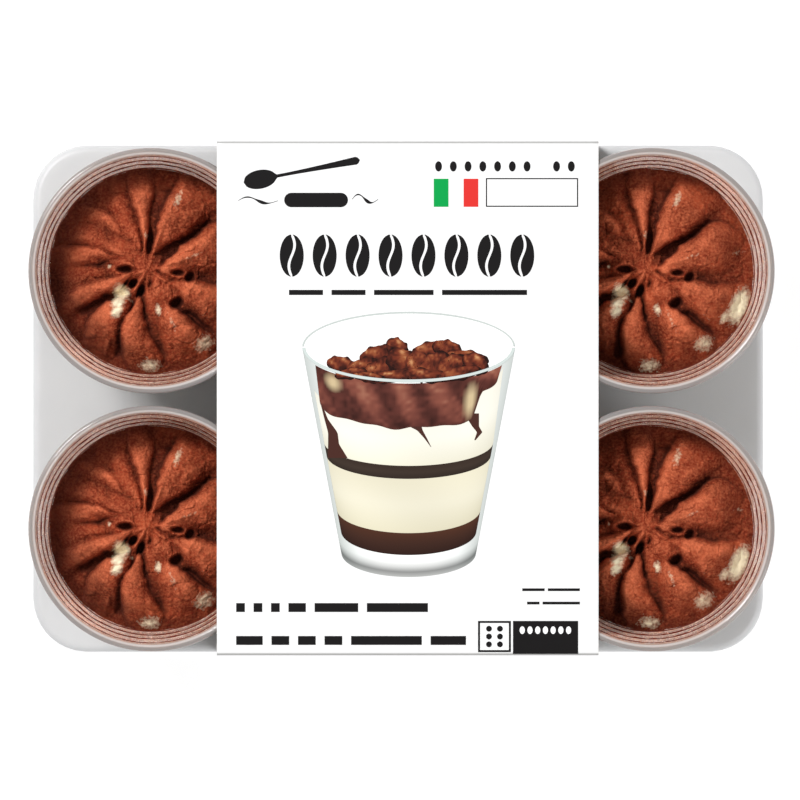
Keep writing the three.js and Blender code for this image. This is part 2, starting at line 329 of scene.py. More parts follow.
# %% Make the tumblers
GLASS_TURNS = 128
RIM_START, RIM_FADE = GLASS_HEIGHT - 1.1 * MM, 0.2 * MM
HAZE_START, HAZE_FADE = 48 * MM, 2 * MM
section_radius, section_height = SECTION.T
across_rim = 0.4 + 0.6 * np.clip((section_radius - inner_radius(GLASS_HEIGHT)) / WALL, 0, 1)
near_rim = across_rim * np.clip((section_height - RIM_START) / RIM_FADE, 0, 1)
inside = section_radius < outer_radius(section_height) - 0.75 * WALL
dusted = np.clip((section_height - HAZE_START) / HAZE_FADE, 0, 1) * inside
for place in PLACES:
    rings = lathe(SECTION, AXES[place], GLASS_TURNS, GLASS_FOOT)
    first, last = ([*AXES[place], GLASS_FOOT + height] for height in (PUNT, BASE_THICKNESS))
    points, faces = closed_rings(rings, first, last)
    tumbler = new_piece(f"tumbler_{place}", points, faces, GLASS, "glass")
    for name, values in (("rim", near_rim), ("dusted", dusted)):
        set_attribute(tumbler, name, np.concatenate([[0], np.repeat(values, GLASS_TURNS), [0]]))
    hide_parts(f"glass_{place}")
print("tumblers:", len(PLACES), "of", len(faces), "faces each")

# %% [markdown]
# ## The layers
# The dessert was filled in stages: coffee-soaked sponge, mascarpone cream, a thin dark cocoa layer and
# cream again. Against the glass every layer ends in a line that is never quite level, so each boundary
# is a height that wanders a little round the glass. Neighbouring layers share that line. The layers
# reach 0.12 mm into the glass wall: wet cream wets the glass, and without this the render would show a
# thin silvery film of air between them.

# %% Boundaries between the layers
WETTING = 0.12 * MM
LAYER_GAP = 0.3 * MM
AROUND = 480
TURN = 2 * np.pi * np.arange(AROUND) / AROUND
# From the bottom up: a layer, the height of its top above the foot, and how far that line wanders.
LAYERS = [("soaked_sponge", 15.5 * MM, 0.55 * MM), ("lower_cream", 32.0 * MM, 0.45 * MM),
          ("cocoa_band", 36.3 * MM, 0.5 * MM), ("upper_cream", 47.7 * MM, 1.3 * MM)]


def wander(angle, seed, depth):
    """A smooth uneven line round the glass: waves of 2 to 13 periods with seeded sizes and starts."""
    draw = np.random.default_rng(seed)
    periods = np.arange(2, 14)
    sizes = draw.uniform(0.3, 1.0, periods.size) / periods ** 0.5
    starts = draw.uniform(0, 2 * np.pi, periods.size)
    waves = (sizes[:, None] * np.sin(periods[:, None] * angle + starts[:, None])).sum(0)
    return depth * waves / np.abs(waves).max()


def boundary(place, level):
    """Heights above the foot, all round one glass, where a layer ends; -1 is the floor of the glass."""
    if level < 0:
        return BASE_THICKNESS + 0 * TURN
    _, top, unevenness = LAYERS[level]
    return top + LAYER_GAP / 2 + wander(TURN, PLACES.index(place) * 10 + level + 1, unevenness)


def layer_rings(axis, low, high, rows=6):
    """Rings up the wall from the heights low to the heights high, with one more inside each end."""
    height = low + (high - low) * np.linspace(0, 1, rows)[:, None]
    radius = inner_radius(height) + WETTING
    height = np.concatenate([height[:1], height, height[-1:]])
    radius = np.concatenate([radius[:1] * 0.6, radius, radius[-1:] * 0.6])
    across = [axis[0] + radius * np.cos(TURN), axis[1] + radius * np.sin(TURN)]
    return np.stack([*across, GLASS_FOOT + height], axis=-1)


print("layers end at", [round(top / MM, 1) for _, top, _ in LAYERS], "mm above the foot")

# %% [markdown]
# ### Cream, cocoa layer and sponge
# Mascarpone cream is a pale, warm white with a soft sheen, because its fat makes it smooth. Against the
# glass it shows small smears, longer round the glass than they are high, and pores. The dark band is
# moist cocoa, nearly black and smooth, and the sponge is brown crumb full of coffee, in cells of 1.6 mm.

# %% Materials: cream, cocoa layer, sponge
CREAM, tree, shader = new_material("whipped_mascarpone_cream", Roughness=0.45, IOR=1.45)
where = add(tree, "TexCoord", output="Object")
flatter = add(tree, "Mapping", {"Vector": where, "Scale": (1, 1, 2.2)})
smears = add(tree, "TexNoise", {"Vector": flatter, **blotches(3 * MM, 5)})
pores = add(tree, "TexNoise", {"Vector": where, **blotches(0.8 * MM)})
fill(shader, {
    "Base Color": add(tree, "ValToRGB", {"Fac": smears},
                      stops=[(0.3, "#F1DDB4"), (0.5, "#FAEBCB"), (0.7, "#FFF6E2")]),
    "Normal": add(tree, "Bump", {"Height": pores, "Distance": 0.08 * MM}),
})

COCOA_LAYER, tree, shader = new_material("moist_cocoa_layer", Roughness=0.35, IOR=1.45)
where = add(tree, "TexCoord", output="Object")
damp, grit = (add(tree, "TexNoise", {"Vector": where, **blotches(size * MM, detail)})
              for size, detail in ((1.5, 4), (0.5, 3)))
fill(shader, {
    "Base Color": add(tree, "ValToRGB", {"Fac": damp}, stops=[(0.35, "#2E140B"), (0.65, "#4E2716")]),
    "Normal": add(tree, "Bump", {"Height": grit, "Distance": 0.06 * MM}),
})

SPONGE, tree, shader = new_material("coffee_soaked_sponge", Roughness=0.55, IOR=1.4)
where = add(tree, "TexCoord", output="Object")
crumb = add(tree, "TexVoronoi", {"Vector": where, "Scale": 1 / (1.6 * MM)})
soaked = add(tree, "TexNoise", {"Vector": where, **blotches(4 * MM)})
crumb_colour = add(tree, "ValToRGB", {"Fac": crumb}, stops=[(0.1, "#2B140D"), (0.6, "#54301F")])
fill(shader, {
    "Base Color": add(tree, "Mix", {0: soaked, 6: crumb_colour, 7: "#3A1E14"}, 2, data_type="RGBA"),
    "Normal": add(tree, "Bump", {"Height": crumb, "Distance": 0.3 * MM}),
})

# %% [markdown]
# Each layer reaches from one wandering line to the next, so neighbours fit without a gap. The sponge
# starts a little below the floor of the glass, because it wets that too.

# %% Make the layers
LAYER_LOOKS = {"soaked_sponge": (SPONGE, "sponge"), "lower_cream": (CREAM, "cream"),
               "cocoa_band": (COCOA_LAYER, "chocolate"), "upper_cream": (CREAM, "cream")}
for place in PLACES:
    for level, (layer, _, _) in enumerate(LAYERS):
        low, high = boundary(place, level - 1), boundary(place, level)
        rings = layer_rings(AXES[place], low - (WETTING if level == 0 else 0), high)
        first, last = ([*AXES[place], ring[:, 2].mean()] for ring in rings[[0, -1]])
        points, faces = closed_rings(rings, first, last)
        filling = new_piece(f"{layer}_in_{place}", points, faces, *LAYER_LOOKS[layer])
        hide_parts(f"{layer}_{place}")
print("layers:", len(LAYERS) * len(PLACES))

# %% [markdown]
# ## The piped rosette
# The top is cream piped with a star nozzle: about a dozen petals are drawn from the wall to the middle,
# where they meet in a small knot, and dry cocoa powder is sieved over all of it. One way is to sculpt
# it. Here the whole top is a height over each point of a disc instead, because a formula can name every
# petal: its direction, its length, its width, its height and the side that its crest leans to.

# %% Petals of the rosette
ROSETTE_FLOOR = 50.4 * MM
ROSETTE_MIDDLE_RISE = 3.4 * MM
HUB = np.array([-1.2, 0.6]) * MM
HUB_HEIGHT = 5.6 * MM
HUB_RADIUS = 5.0 * MM
CREASE = 0.5 * MM
SINK_START = 20 * MM
SINK_SHARE = 0.6
# Shares of a petal's length: where it has opened to its full angle and starts to close again, and where
# it has swollen to its full height and starts to fall.
OPEN_BY, CLOSE_FROM = 0.3, 0.6
SWOLLEN_BY, FALL_FROM = 0.25, 0.45
# Each petal: the direction of its middle halfway along, and how far it turns from start to end, in
# degrees; its start and end, in mm; the angle that it spans, in degrees; its height in mm; and where its
# crest lies, from -1 at the clockwise side to 1 at the anticlockwise side.
PETALS = [
    (169, 14, 8, 32, 18, 7.2, -0.5),
    (150, 4, 4, 34, 25, 6.6, 0.1),
    (133, 16, 9, 33, 17, 7.4, -0.2),
    (114, 4, 3, 34, 30, 6.8, 0.1),
    (94, 4, 3, 36, 19, 8.6, 0.2),
    (57, -8, 3, 35, 38, 8.4, 0.58),
    (14, 6, 4, 29, 45, 9.6, 0.52),
    (-27, 6, 7, 36, 37, 9.2, 0.4),
    (-64, 6, 10, 36, 35, 9.2, 0.4),
    (-98, 24, 7, 35, 28, 9.2, -0.6),
    (-125, 6, 9, 30, 33, 9.0, -0.55),
    (-158, 4, 3, 31, 22, 8.4, -0.3),
    (-172, 8, 8, 33, 27, 5.4, 0.0),
    (-48, 0, 0, 17, 66, 5.8, 0.0),
    (132, 0, 0, 31, 86, 5.2, 0.0),
]
# Low shelves of cream that were squeezed out between petals, in the same terms.
SHELVES = [
    (-4, 0, 1, 17, 52, 6.6, 0.0),
    (-6, 0, 1, 29, 40, 4.4, 0.0),
    (84, 0, 1, 24, 60, 4.2, 0.0),
    (178, 0, 1, 14, 50, 5.2, 0.0),
    (-78, 0, 4, 24, 40, 4.2, 0.0),
]
print("petals:", len(PETALS), "shelves:", len(SHELVES))

# %% [markdown]
# One petal is a ridge. Its height over a point depends on how far out the point lies along the petal
# and how far it lies to the side, in shares of the petal's own length and width, so the same two curves
# serve petals of every size.

# %% Height of one petal
def rounding(along, risen, falling):
    """From 0 to 1 and back: a square root up to the share risen, a quarter circle after falling."""
    closing = np.clip((along - falling) / (1 - falling), 0, 1)
    return np.sqrt(np.clip(along / risen, 0, 1) * (1 - closing ** 2))


def petal_rise(reach, angle, at, turn, start, end, span, height, crest):
    """How far one petal stands above the floor: a ridge along a slightly curved ray out from the hub.

    It spans a constant angle that closes at its two ends in a round. Across, it is half an ellipse on
    each side of the crest. Along, it swells quickly from the start and sinks towards the end.
    """
    along = (reach - start * MM) / ((end - start) * MM)
    inside = np.clip(along, 1e-6, 1 - 1e-6)
    away = angle - np.radians(at + turn * (inside - 0.5))
    away = np.arctan2(np.sin(away), np.cos(away))
    half_angle = np.radians(span / 2) * rounding(inside, OPEN_BY, CLOSE_FROM)
    across = np.clip(away / half_angle, -1, 1)
    side = np.where(across > crest, (across - crest) / (1 - crest), (crest - across) / (1 + crest))
    rise = height * MM * np.sqrt(1 - side ** 2) * rounding(inside, SWOLLEN_BY, FALL_FROM)
    return np.where((along > 0) & (along < 1), rise, 0)


first_petal = petal_rise(np.array([20 * MM]), np.radians([PETALS[0][0]]), *PETALS[0])
print("first petal, halfway along:", np.round(first_petal / MM, 1), "mm high")

# %% [markdown]
# Nothing that is piped and dusted is smooth. What is uneven without a plan, such as grain, comes from a
# seeded noise: random numbers at the corners of a square lattice, blended in between. It is worked out
# here and not in the material, because the relief should be there in the mesh as well.

# %% Noise
LATTICE = 128


def lattice_noise(x, y, size, seed):
    """Smooth noise from -1 to 1: random numbers on a square lattice of a size, blended at its corners."""
    table = np.random.default_rng(seed).uniform(-1, 1, (LATTICE, LATTICE))
    u, v = x / size + LATTICE / 2, y / size + LATTICE / 2
    i, j = np.floor(u).astype(int), np.floor(v).astype(int)
    s, t = u - i, v - j
    s, t = s * s * (3 - 2 * s), t * t * (3 - 2 * t)
    i, j = i % (LATTICE - 1), j % (LATTICE - 1)
    low = table[i, j] * (1 - s) + table[i + 1, j] * s
    high = table[i, j + 1] * (1 - s) + table[i + 1, j + 1] * s
    return low * (1 - t) + high * t


def noises(x, y, rows):
    """A sum of seeded noises in mm: each row is how high, how wide in mm, and the seed."""
    return sum(high * lattice_noise(x, y, wide * MM, seed) for high, wide, seed in rows)


print("noise at three points:", np.round(lattice_noise(np.arange(3) * MM, np.zeros(3), 1.7 * MM, 1), 2))

# %% [markdown]
# What has a place of its own, such as a pit where the nozzle left off, is a row in a table: where it is
# and how large. All of these are ovals that lie along a ray, and one function draws any table of them.

# %% Pits, webs and the ovals that draw them
# Pits between the petals, measured from the hub: direction in degrees, distance, length outwards,
# width and depth in mm. The last two are hollows at the wall.
PITS = [
    (180, 6.6, 2.4, 1.1, 4.4), (224, 6.0, 1.5, 1.1, 4.2), (252, 6.9, 2.0, 1.0, 4.2), (-7, 8.8, 1.9, 0.9, 3.6),
    (-11, 12.6, 1.2, 1.5, 3.4), (-50, 13.0, 1.4, 1.9, 4.4), (86, 8.0, 3.6, 1.0, 2.6),
    (-150, 10.5, 5.0, 0.9, 2.0), (248, 25.6, 4.0, 1.9, 1.5), (212, 24.5, 4.5, 1.4, 1.0),
]
# Thin webs of cream that stayed between hub and petals: direction, distance, length, width, height.
WEBS = [
    (205, 4.6, 4.0, 0.7, 1.4), (238, 5.0, 4.4, 0.6, 1.6), (268, 5.6, 3.6, 0.6, 1.2),
    (-32, 6.8, 3.4, 0.8, 1.5), (14, 7.6, 5.0, 0.8, 1.3), (70, 7.0, 4.6, 0.7, 1.4),
    (104, 6.0, 3.0, 0.8, 1.0), (160, 6.0, 3.4, 0.9, 0.9),
]


def ovals(x, y, centre, rows, power=1):
    """The largest of a few ovals: exp(-(d squared) to a power), d the distance in lengths and widths."""
    largest = np.zeros_like(x)
    for direction, distance, length, width, size in rows:
        cosine, sine = math.cos(math.radians(direction)), math.sin(math.radians(direction))
        out = (x - centre[0]) * cosine + (y - centre[1]) * sine - distance * MM
        side = (y - centre[1]) * cosine - (x - centre[0]) * sine
        distance_squared = (out / (length * MM)) ** 2 + (side / (width * MM)) ** 2
        largest = np.maximum(largest, size * np.exp(-distance_squared ** power))
    return largest


print("pits:", len(PITS), "webs:", len(WEBS))

# %% [markdown]
# Cream is soft, so the creases between petals are small fillets. A smooth maximum does that: the log of
# the sum of exponentials follows whichever petal is highest and rounds the join. Towards the glass the
# petals sink, and the fine detail is added last.

# %% Height of the whole rosette
# How far points go astray along x and y, and the grain of the powder, as noises reads them.
ASTRAY_X = [(0.75, 5.5, 9), (0.3, 1.9, 11)]
ASTRAY_Y = [(0.75, 5.5, 10), (0.3, 1.9, 12)]
GRAIN = [(0.36, 3.1, 4), (0.27, 1.7, 1), (0.17, 0.9, 2), (0.12, 0.45, 3)]


def cream_detail(x, y, reach, angle):
    """What stands on the petals, in mm: grain, the nozzle's ribs, crumbs and webs, less cracks and pits."""
    # The ribs run outwards, so they are a noise of the angle that hardly changes with the distance.
    ribs = 0.16 * lattice_noise(angle * 9 * MM, reach * 0.12, 1.2 * MM, 5) * np.clip(reach / (14 * MM), 0, 1)
    # A crack is a thin line where a noise passes through zero. A crumb is the peak of one.
    cracks = 0.45 * np.exp(-(lattice_noise(x, y, 3.6 * MM, 6) / 0.045) ** 2)
    crumbs = np.clip(lattice_noise(x, y, 0.8 * MM, 7) - 0.45, 0, 1) * 0.9
    return noises(x, y, GRAIN) + ribs + crumbs - cracks + ovals(x, y, HUB, WEBS) - ovals(x, y, HUB, PITS, 2)


def rosette_height(x, y):
    """Height of the rosette above the foot of the glass, at points measured from the glass's axis."""
    # Soft cream never runs true, so the petals are laid out on points that go a little astray.
    out_x = x + noises(x, y, ASTRAY_X) * MM - HUB[0]
    out_y = y + noises(x, y, ASTRAY_Y) * MM - HUB[1]
    reach, angle = np.hypot(out_x, out_y), np.arctan2(out_y, out_x)
    radius, wall = np.hypot(x, y), inner_radius(ROSETTE_FLOOR)
    floor = ROSETTE_FLOOR + ROSETTE_MIDDLE_RISE * (1 - (radius / wall) ** 2)
    rises = [petal_rise(reach, angle, *petal) for petal in PETALS + SHELVES]
    rises.append(HUB_HEIGHT * np.exp(-(reach / HUB_RADIUS) ** 2))
    joined = CREASE * (np.log(sum(np.exp(rise / CREASE) for rise in rises)) - math.log(len(rises)))
    outward = np.clip((radius - SINK_START) / (wall - SINK_START), 0, 1)
    joined = joined * (1 - SINK_SHARE * outward ** 2 * (3 - 2 * outward))
    return floor + joined + cream_detail(x, y, reach, angle) * MM


print("height in the middle:", np.round(rosette_height(np.zeros(1), np.zeros(1)) / MM, 1), "mm")

# %% [markdown]
# The powder does not lie evenly. It is thick in most places, and thin where a petal brushed the sieve or
# the lid, so the cream shows through. Shade is painted into it as darker powder: down in the grooves, in a
# crescent along the glass and in a few hollows at the wall. On the crests a paler tone is a painted
# highlight. These facts are numbers stored on the points, and the material reads them.

# %% Where cream shows and where shade is painted
# Direction, distance, length outwards, width in mm, and how dark the painted shade is, in hollows at the
# wall.
HOLLOW_SHADE = [
    (249, 26.0, 3.8, 2.4, 0.95), (234, 29.5, 1.6, 5.0, 0.7), (210, 27.5, 3.4, 3.4, 0.6),
    (150, 28.5, 2.4, 6.0, 0.6), (122, 29.0, 2.6, 3.6, 0.6), (296, 28.8, 2.2, 2.0, 0.6),
    (83, 27.0, 4.0, 1.6, 0.5),
]
# The same, and how strongly the cream shows.
BARE_CREAM = [
    (215, 10.8, 2.3, 2.6, 1.2), (223, 13.4, 2.2, 2.0, 1.1), (229, 15.6, 2.4, 1.7, 0.95),
    (174, 12.5, 0.7, 0.9, 0.6), (235, 10.6, 0.7, 1.0, 0.6), (338, 27.6, 2.6, 5.4, 1.25),
    (328, 25.4, 1.6, 2.6, 0.75), (70, 22.2, 3.6, 1.4, 0.55), (279, 11.4, 2.0, 1.2, 0.75),
    (306, 26.1, 2.8, 3.6, 0.7), (269, 27.6, 2.6, 4.2, 0.6), (99, 10.6, 1.6, 0.8, 0.55),
    (292, 16.0, 5.0, 1.0, 0.4), (20, 12.5, 5.0, 0.8, 0.35), (12, 26.0, 3.0, 0.8, 0.4),
    (320, 21.0, 3.0, 0.9, 0.3),
]
print("damp hollows:", len(HOLLOW_SHADE), "bare patches:", len(BARE_CREAM))

# %% [markdown]
# The height is now worked out for rings of points from the middle to the glass. Grooves and crests come
# from it: a point is in a groove where it lies lower than the mean of its surroundings, and on a crest
# where it lies higher. The material darkens the grooves as painted shade and lightens the crests as a
# painted highlight.

# %% Points of the rosette, its grooves and crests
ROSETTE_RINGS = 165
ROSETTE_RADIUS = inner_radius(ROSETTE_FLOOR + 1 * MM) + WETTING
SPREAD = np.linspace(0, 1, ROSETTE_RINGS + 1)[1:, None]
DISC_X = ROSETTE_RADIUS * SPREAD * np.cos(TURN)
DISC_Y = ROSETTE_RADIUS * SPREAD * np.sin(TURN)
DISC_HEIGHT = rosette_height(DISC_X, DISC_Y)
DISC_CREAM = ovals(DISC_X, DISC_Y, (0, 0), BARE_CREAM)
# Distances, in rings, at which a point is compared with its surroundings.
DEPTH_STEPS = (6, 14, 24)
# How deep a groove is where its number reaches 1, and the height where a crest starts and how far it rises.
GROOVE_DEPTH = 1.9 * MM
CREST_START, CREST_RISE = 0.25 * MM, 1.3 * MM


def depth_below(height):
    """How far a point lies below its surroundings: the mean of points at three distances, less its own."""
    row, column = np.arange(ROSETTE_RINGS)[:, None], np.arange(AROUND)[None, :]
    points_per_ring_step = SPREAD * 2 * np.pi * ROSETTE_RINGS / AROUND
    around = np.zeros_like(height)
    for step in DEPTH_STEPS:
        padded = np.concatenate([height[step - 1::-1], height, height[:-step - 1:-1]])
        radial = (padded[:-2 * step] + padded[2 * step:]) / 2
        shift = (step / np.maximum(points_per_ring_step, 0.05)).astype(int).clip(1, AROUND // 8)
        side = (height[row, (column + shift) % AROUND] + height[row, (column - shift) % AROUND]) / 2
        around += (0.35 * radial + 0.65 * side) / len(DEPTH_STEPS)
    return around - height


DISC_DEPTH = depth_below(DISC_HEIGHT)
DISC_GROOVE = np.clip(DISC_DEPTH / GROOVE_DEPTH, 0, 1)
DISC_CREST = np.clip((-DISC_DEPTH - CREST_START) / CREST_RISE, 0, 1)
print("rosette, mm above the foot:", np.round([DISC_HEIGHT.min() / MM, DISC_HEIGHT.max() / MM], 1))

# %% [markdown]
# Along the glass on one side the dessert lies in the shade of the wall, and this shade is painted in as
# darker powder. The dark crescent has its broadest place in one direction and thins out to both sides of it.

# %% Painted shade along the glass
def wall_shade_crescent(x, y, middle=182):
    """Painted shade from 0 to 1 along the glass round a middle direction, with an uneven inner edge, less all
    round.
    """
    radius, wall = np.hypot(x, y), inner_radius(ROSETTE_FLOOR)
    toward = 0.5 + 0.5 * np.cos(np.arctan2(y, x) - math.radians(middle))
    edge = (wall - radius) / MM + 1.6 * lattice_noise(x, y, 3 * MM, 8)
    return np.clip(1.15 - edge / (2.6 + 9.5 * toward ** 2), 0, 1) * (0.45 + 0.45 * toward)


DISC_WALL_SHADE = np.maximum(wall_shade_crescent(DISC_X, DISC_Y), ovals(DISC_X, DISC_Y, (0, 0), HOLLOW_SHADE))
print("share of moist powder:", round(float(DISC_WALL_SHADE.mean()), 2))

# %% [markdown]
# ### Cocoa powder
# Dry cocoa is matt and scatters light evenly, a red-brown with a fine grain. A paler tone on the crests,
# broken up by a fine noise, is a painted highlight, and a dark tone in the grooves, along the glass and in
# hollows at the wall is painted shade. The bare cream shows through as speckles, because powder never
# ends in a clean line: the patch is compared with a fine noise, so that grains thin out towards its
# middle. The grain is drawn at 0.3 to 0.45 mm, coarser than real powder, because finer would not show.

# %% Material: cocoa powder on cream
COCOA, tree, shader = new_material("sieved_cocoa_powder_on_cream", Roughness=0.9, IOR=1.4,
                                   Specular_IOR_Level=0.2)
where = add(tree, "TexCoord", output="Object")
cream, groove, crest, wall_shade = (add(tree, "Attribute", output="Fac", attribute_name=name)
                               for name in ("cream", "groove", "crest", "wall_shade"))
grit, blotch, crumbs, relief = (
    add(tree, "TexNoise", {"Vector": where, **blotches(size * MM, detail, roughness)})
    for size, detail, roughness in ((0.35, 4, 0.55), (5, 5, 0.55), (0.45, 5, 0.55), (0.3, 6, 0.7)))
powder = add(tree, "ValToRGB", {"Fac": blotch}, stops=[(0.3, "#6C2411"), (0.5, "#84301B"), (0.7, "#A8482A")])
crest_highlight_noise = add(tree, "MapRange",
            {"Value": grit, "From Min": 0.35, "From Max": 0.65, "To Min": 0.72, "To Max": 1.2})
# Painted highlight: crests are lightened. Painted shade: grooves and the shade along the wall are darkened.
crest_highlight = add(tree, "Math", {0: crest, 1: blotch}, operation="MULTIPLY")
painted_shade = add(tree, "Math", {0: groove, 1: wall_shade}, operation="MAXIMUM")
speckle = add(tree, "Math", {0: crumbs, 1: 0.9, 2: cream}, operation="MULTIPLY_ADD")
# From the powder's own red-brown, each step mixes in a tone by how far a point is gritty, on a crest
# (painted highlight), in painted shade or bare.
for share, tone in (
        (add(tree, "MapRange", {"Value": grit, "From Min": 0.4, "From Max": 0.75}), "#B8603E"),
        (add(tree, "Math", {0: crest_highlight, 1: crest_highlight_noise}, operation="MULTIPLY"), "#E67C54"),
        (add(tree, "Math", {0: painted_shade, 1: 0.85}, operation="MULTIPLY"), "#300D06"),
        (add(tree, "MapRange", {"Value": speckle, "From Min": 0.75, "From Max": 1.35}), "#FFF2CF")):
    powder = add(tree, "Mix", {0: share, 6: powder, 7: tone}, 2, data_type="RGBA")
fill(shader, {"Base Color": powder, "Normal": add(tree, "Bump", {"Height": relief, "Distance": 0.16 * MM})})

# %% [markdown]
# The disc is closed into a body: its outer ring meets the wall just above the upper cream, and rings
# down the wall join it to the wandering line where that cream ends. The wall's points carry zeros for
# the four numbers, so they look like plain powder.

# %% Make the rosettes
SHOULDER = 0.1 * MM
for place in PLACES:
    axis = AXES[place]
    top = np.stack([axis[0] + DISC_X, axis[1] + DISC_Y, GLASS_FOOT + DISC_HEIGHT], axis=-1)
    under = layer_rings(axis, boundary(place, 3), DISC_HEIGHT[-1] - SHOULDER)[:-1]
    under[-1, :, :2] = top[-1, :, :2]
    rings = np.concatenate([under, top[::-1]])
    middle = rosette_height(np.zeros(1), np.zeros(1))[0]
    points, faces = closed_rings(rings, [*axis, under[0, :, 2].mean()], [*axis, GLASS_FOOT + middle])
    rosette = new_piece(f"piped_rosette_{place}", points, faces, COCOA, "cocoa")
    wall = np.zeros(under[..., 0].size)
    for name, values in (("cream", DISC_CREAM), ("groove", DISC_GROOVE),
                         ("crest", DISC_CREST), ("wall_shade", DISC_WALL_SHADE)):
        set_attribute(rosette, name, np.concatenate([[0], wall, values[::-1].ravel(), [0]]))
    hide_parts(f"rosette_{place}")
print("rosettes:", len(PLACES), "of", len(faces), "faces each")

# %% [markdown]
# ## Cocoa dust and painted reflections on the glass
# When the powder is sieved over a glass, some of it settles on the wall above the cream. A few thin
# uneven dark rings on that wall are painted reflections: they stand for the dessert mirrored in the glass.
# The haze of the finest dust is part of the glass's own material. The rings could be painted on too, but
# as a skin of its own the dust can be taken away, and the rings can stand a little proud. The skin runs
# up the inside of the wall and back down, so it is closed, and its radius is the glass's less a small
# thickness that swells at each ring. Its rows lie close together only near the rings, which keeps the
# piece light.

# %% Size and shape of the dusted skin
DUST_SKIN = 0.05 * MM
DUST_BELOW = 0.6 * MM
DUST_TURN = TURN[::2]
RING_REACH = 0.9 * MM
RING_WIDTH = 0.36 * MM
RING_WANDER = 0.35 * MM
# Height of each ring above the foot of the glass, how far it stands out, and how strong its painted
# reflection is.
DUST_AND_REFLECTION_RINGS = [(54.2, 0.55, 1.1), (60.4, 0.62, 1.1), (66.4, 0.62, 1.0), (71.8, 0.40, 1.0)]


def dust_rows(lines):
    """Heights of the inner face's rows, from just under the dessert: three up to a ring and ten across it."""
    rows = [DISC_HEIGHT[-1:, ::2] - DUST_BELOW]
    for middle in lines:
        below = middle - RING_REACH - rows[-1][-1]
        rows.append(rows[-1][-1] + below * np.array([0.25, 0.5, 0.75])[:, None])
        rows.append(middle + RING_REACH * np.linspace(-1, 1, 10)[:, None])
    return np.concatenate(rows)


def dust_and_reflection_skin(place):
    """Points of the skin, and how strong a ring is at each: rows up the outer face, then down the inner."""
    seed = 100 + PLACES.index(place)
    lines = [middle * MM + wander(DUST_TURN, seed + 10 * number, RING_WANDER)
             for number, (middle, _, _) in enumerate(DUST_AND_REFLECTION_RINGS)]
    height = dust_rows(lines)
    painted_ring_strength, stand = np.zeros_like(height), np.full_like(height, DUST_SKIN)
    for number, (_, out, strength) in enumerate(DUST_AND_REFLECTION_RINGS):
        uneven = 0.9 + 0.25 * wander(7 * DUST_TURN, seed + 10 * number + 5, 1.0)
        bell = np.exp(-((height - lines[number]) / RING_WIDTH) ** 2) * uneven
        painted_ring_strength = np.maximum(painted_ring_strength, strength * bell)
        stand += out * MM * bell
    behind = height[0] + (height[-1] - height[0]) * np.linspace(0, 1, 6)[:, None]
    radius = np.concatenate([inner_radius(behind) + WETTING / 2, (inner_radius(height) - stand)[::-1]])
    heights = np.concatenate([behind, height[::-1]])
    across = [AXES[place][0] + radius * np.cos(DUST_TURN), AXES[place][1] + radius * np.sin(DUST_TURN)]
    points = np.stack([*across, GLASS_FOOT + heights], axis=-1)
    return points, np.concatenate([np.zeros_like(behind), painted_ring_strength[::-1]])


print("dust rings at", [middle for middle, _, _ in DUST_AND_REFLECTION_RINGS], "mm")

# %% [markdown]
# ### Clinging cocoa dust and painted reflections
# Between the rings the film is so thin that nearly all of the glass shows through it. Its pale peach is
# partly dust and partly a painted reflection of the bright band along the wall. On the rings it closes up
# to dark brown, a painted reflection of the dessert, with an edge that a fine noise frays. Coarser grains
# sit on it one by one. Seen along the wall they crowd together and look dense, and seen from the side they
# are sparse, so they are true small bodies and not a picture of grains. Each has its own shade, drawn at
# random from brown to a pale peach, and the pale end is partly a painted reflection of the bright band.

# %% Material: clinging cocoa dust and painted reflection rings
DUST_AND_REFLECTIONS, tree, shader = new_material("cocoa_dust_with_painted_reflections", Roughness=0.9, IOR=1.4, Subsurface_Weight=0.6,
                                  Subsurface_Radius=(1.0, 0.7, 0.6), Subsurface_Scale=0.8 * MM)
where = add(tree, "TexCoord", output="Object")
ring = add(tree, "Attribute", output="Fac", attribute_name="ring")
film, fray = (add(tree, "TexNoise", {"Vector": where, **blotches(size * MM, detail, roughness)})
              for size, detail, roughness in ((1.2, 4, 0.55), (0.5, 5, 0.7)))
pale = add(tree, "ValToRGB", {"Fac": film}, stops=[(0.35, "#FFC9AE"), (0.7, "#FFECE0")])
on_painted_ring = add(tree, "MapRange", {"Value": ring, "From Min": 0.25, "From Max": 0.5})
cover = add(tree, "Math", {0: fray, 1: ring}, operation="ADD")
# Dark brown on the rings is a painted reflection of the dessert; the pale film is partly dust, partly painted
# reflection.
fill(shader, {
    "Base Color": add(tree, "Mix", {0: on_painted_ring, 6: pale, 7: "#62200F"}, 2, data_type="RGBA"),
    "Alpha": add(tree, "MapRange", {"Value": cover, "From Min": 0.5, "From Max": 0.95, "To Min": 0.03}),
})

GRAINS, tree, shader = new_material("clinging_cocoa_grains_with_painted_reflection", Roughness=0.95, Specular_IOR_Level=0.1)
# Shades run from the dust's own brown to a pale peach that is partly a painted reflection of the bright band
# along the wall.
shade = add(tree, "Attribute", output="Fac", attribute_name="shade")
fill(shader, {"Base Color": add(tree, "ValToRGB", {"Fac": shade},
                                stops=[(0.0, "#8E4A30"), (0.4, "#D89A7C"), (1.0, "#FFDCCB")])})

# %% [markdown]
# A grain of powder is a tiny lump with no shape that the eye could make out, so the lightest closed body
# will do: a pyramid of four sides, stretched and turned at random. It is laid out in a frame of its own,
# whose first direction points away from the axis, whose second runs round the wall and whose third is up.

# %% Grains on the wall
GRAIN_COUNT = 3200
GRAINS_LOW, GRAINS_HIGH = 51.0 * MM, 72.7 * MM
GRAIN_INSET = 0.04 * MM
GRAIN_SIZES = 0.07, 0.18
GRAIN_STRETCH = 0.6, 1.3
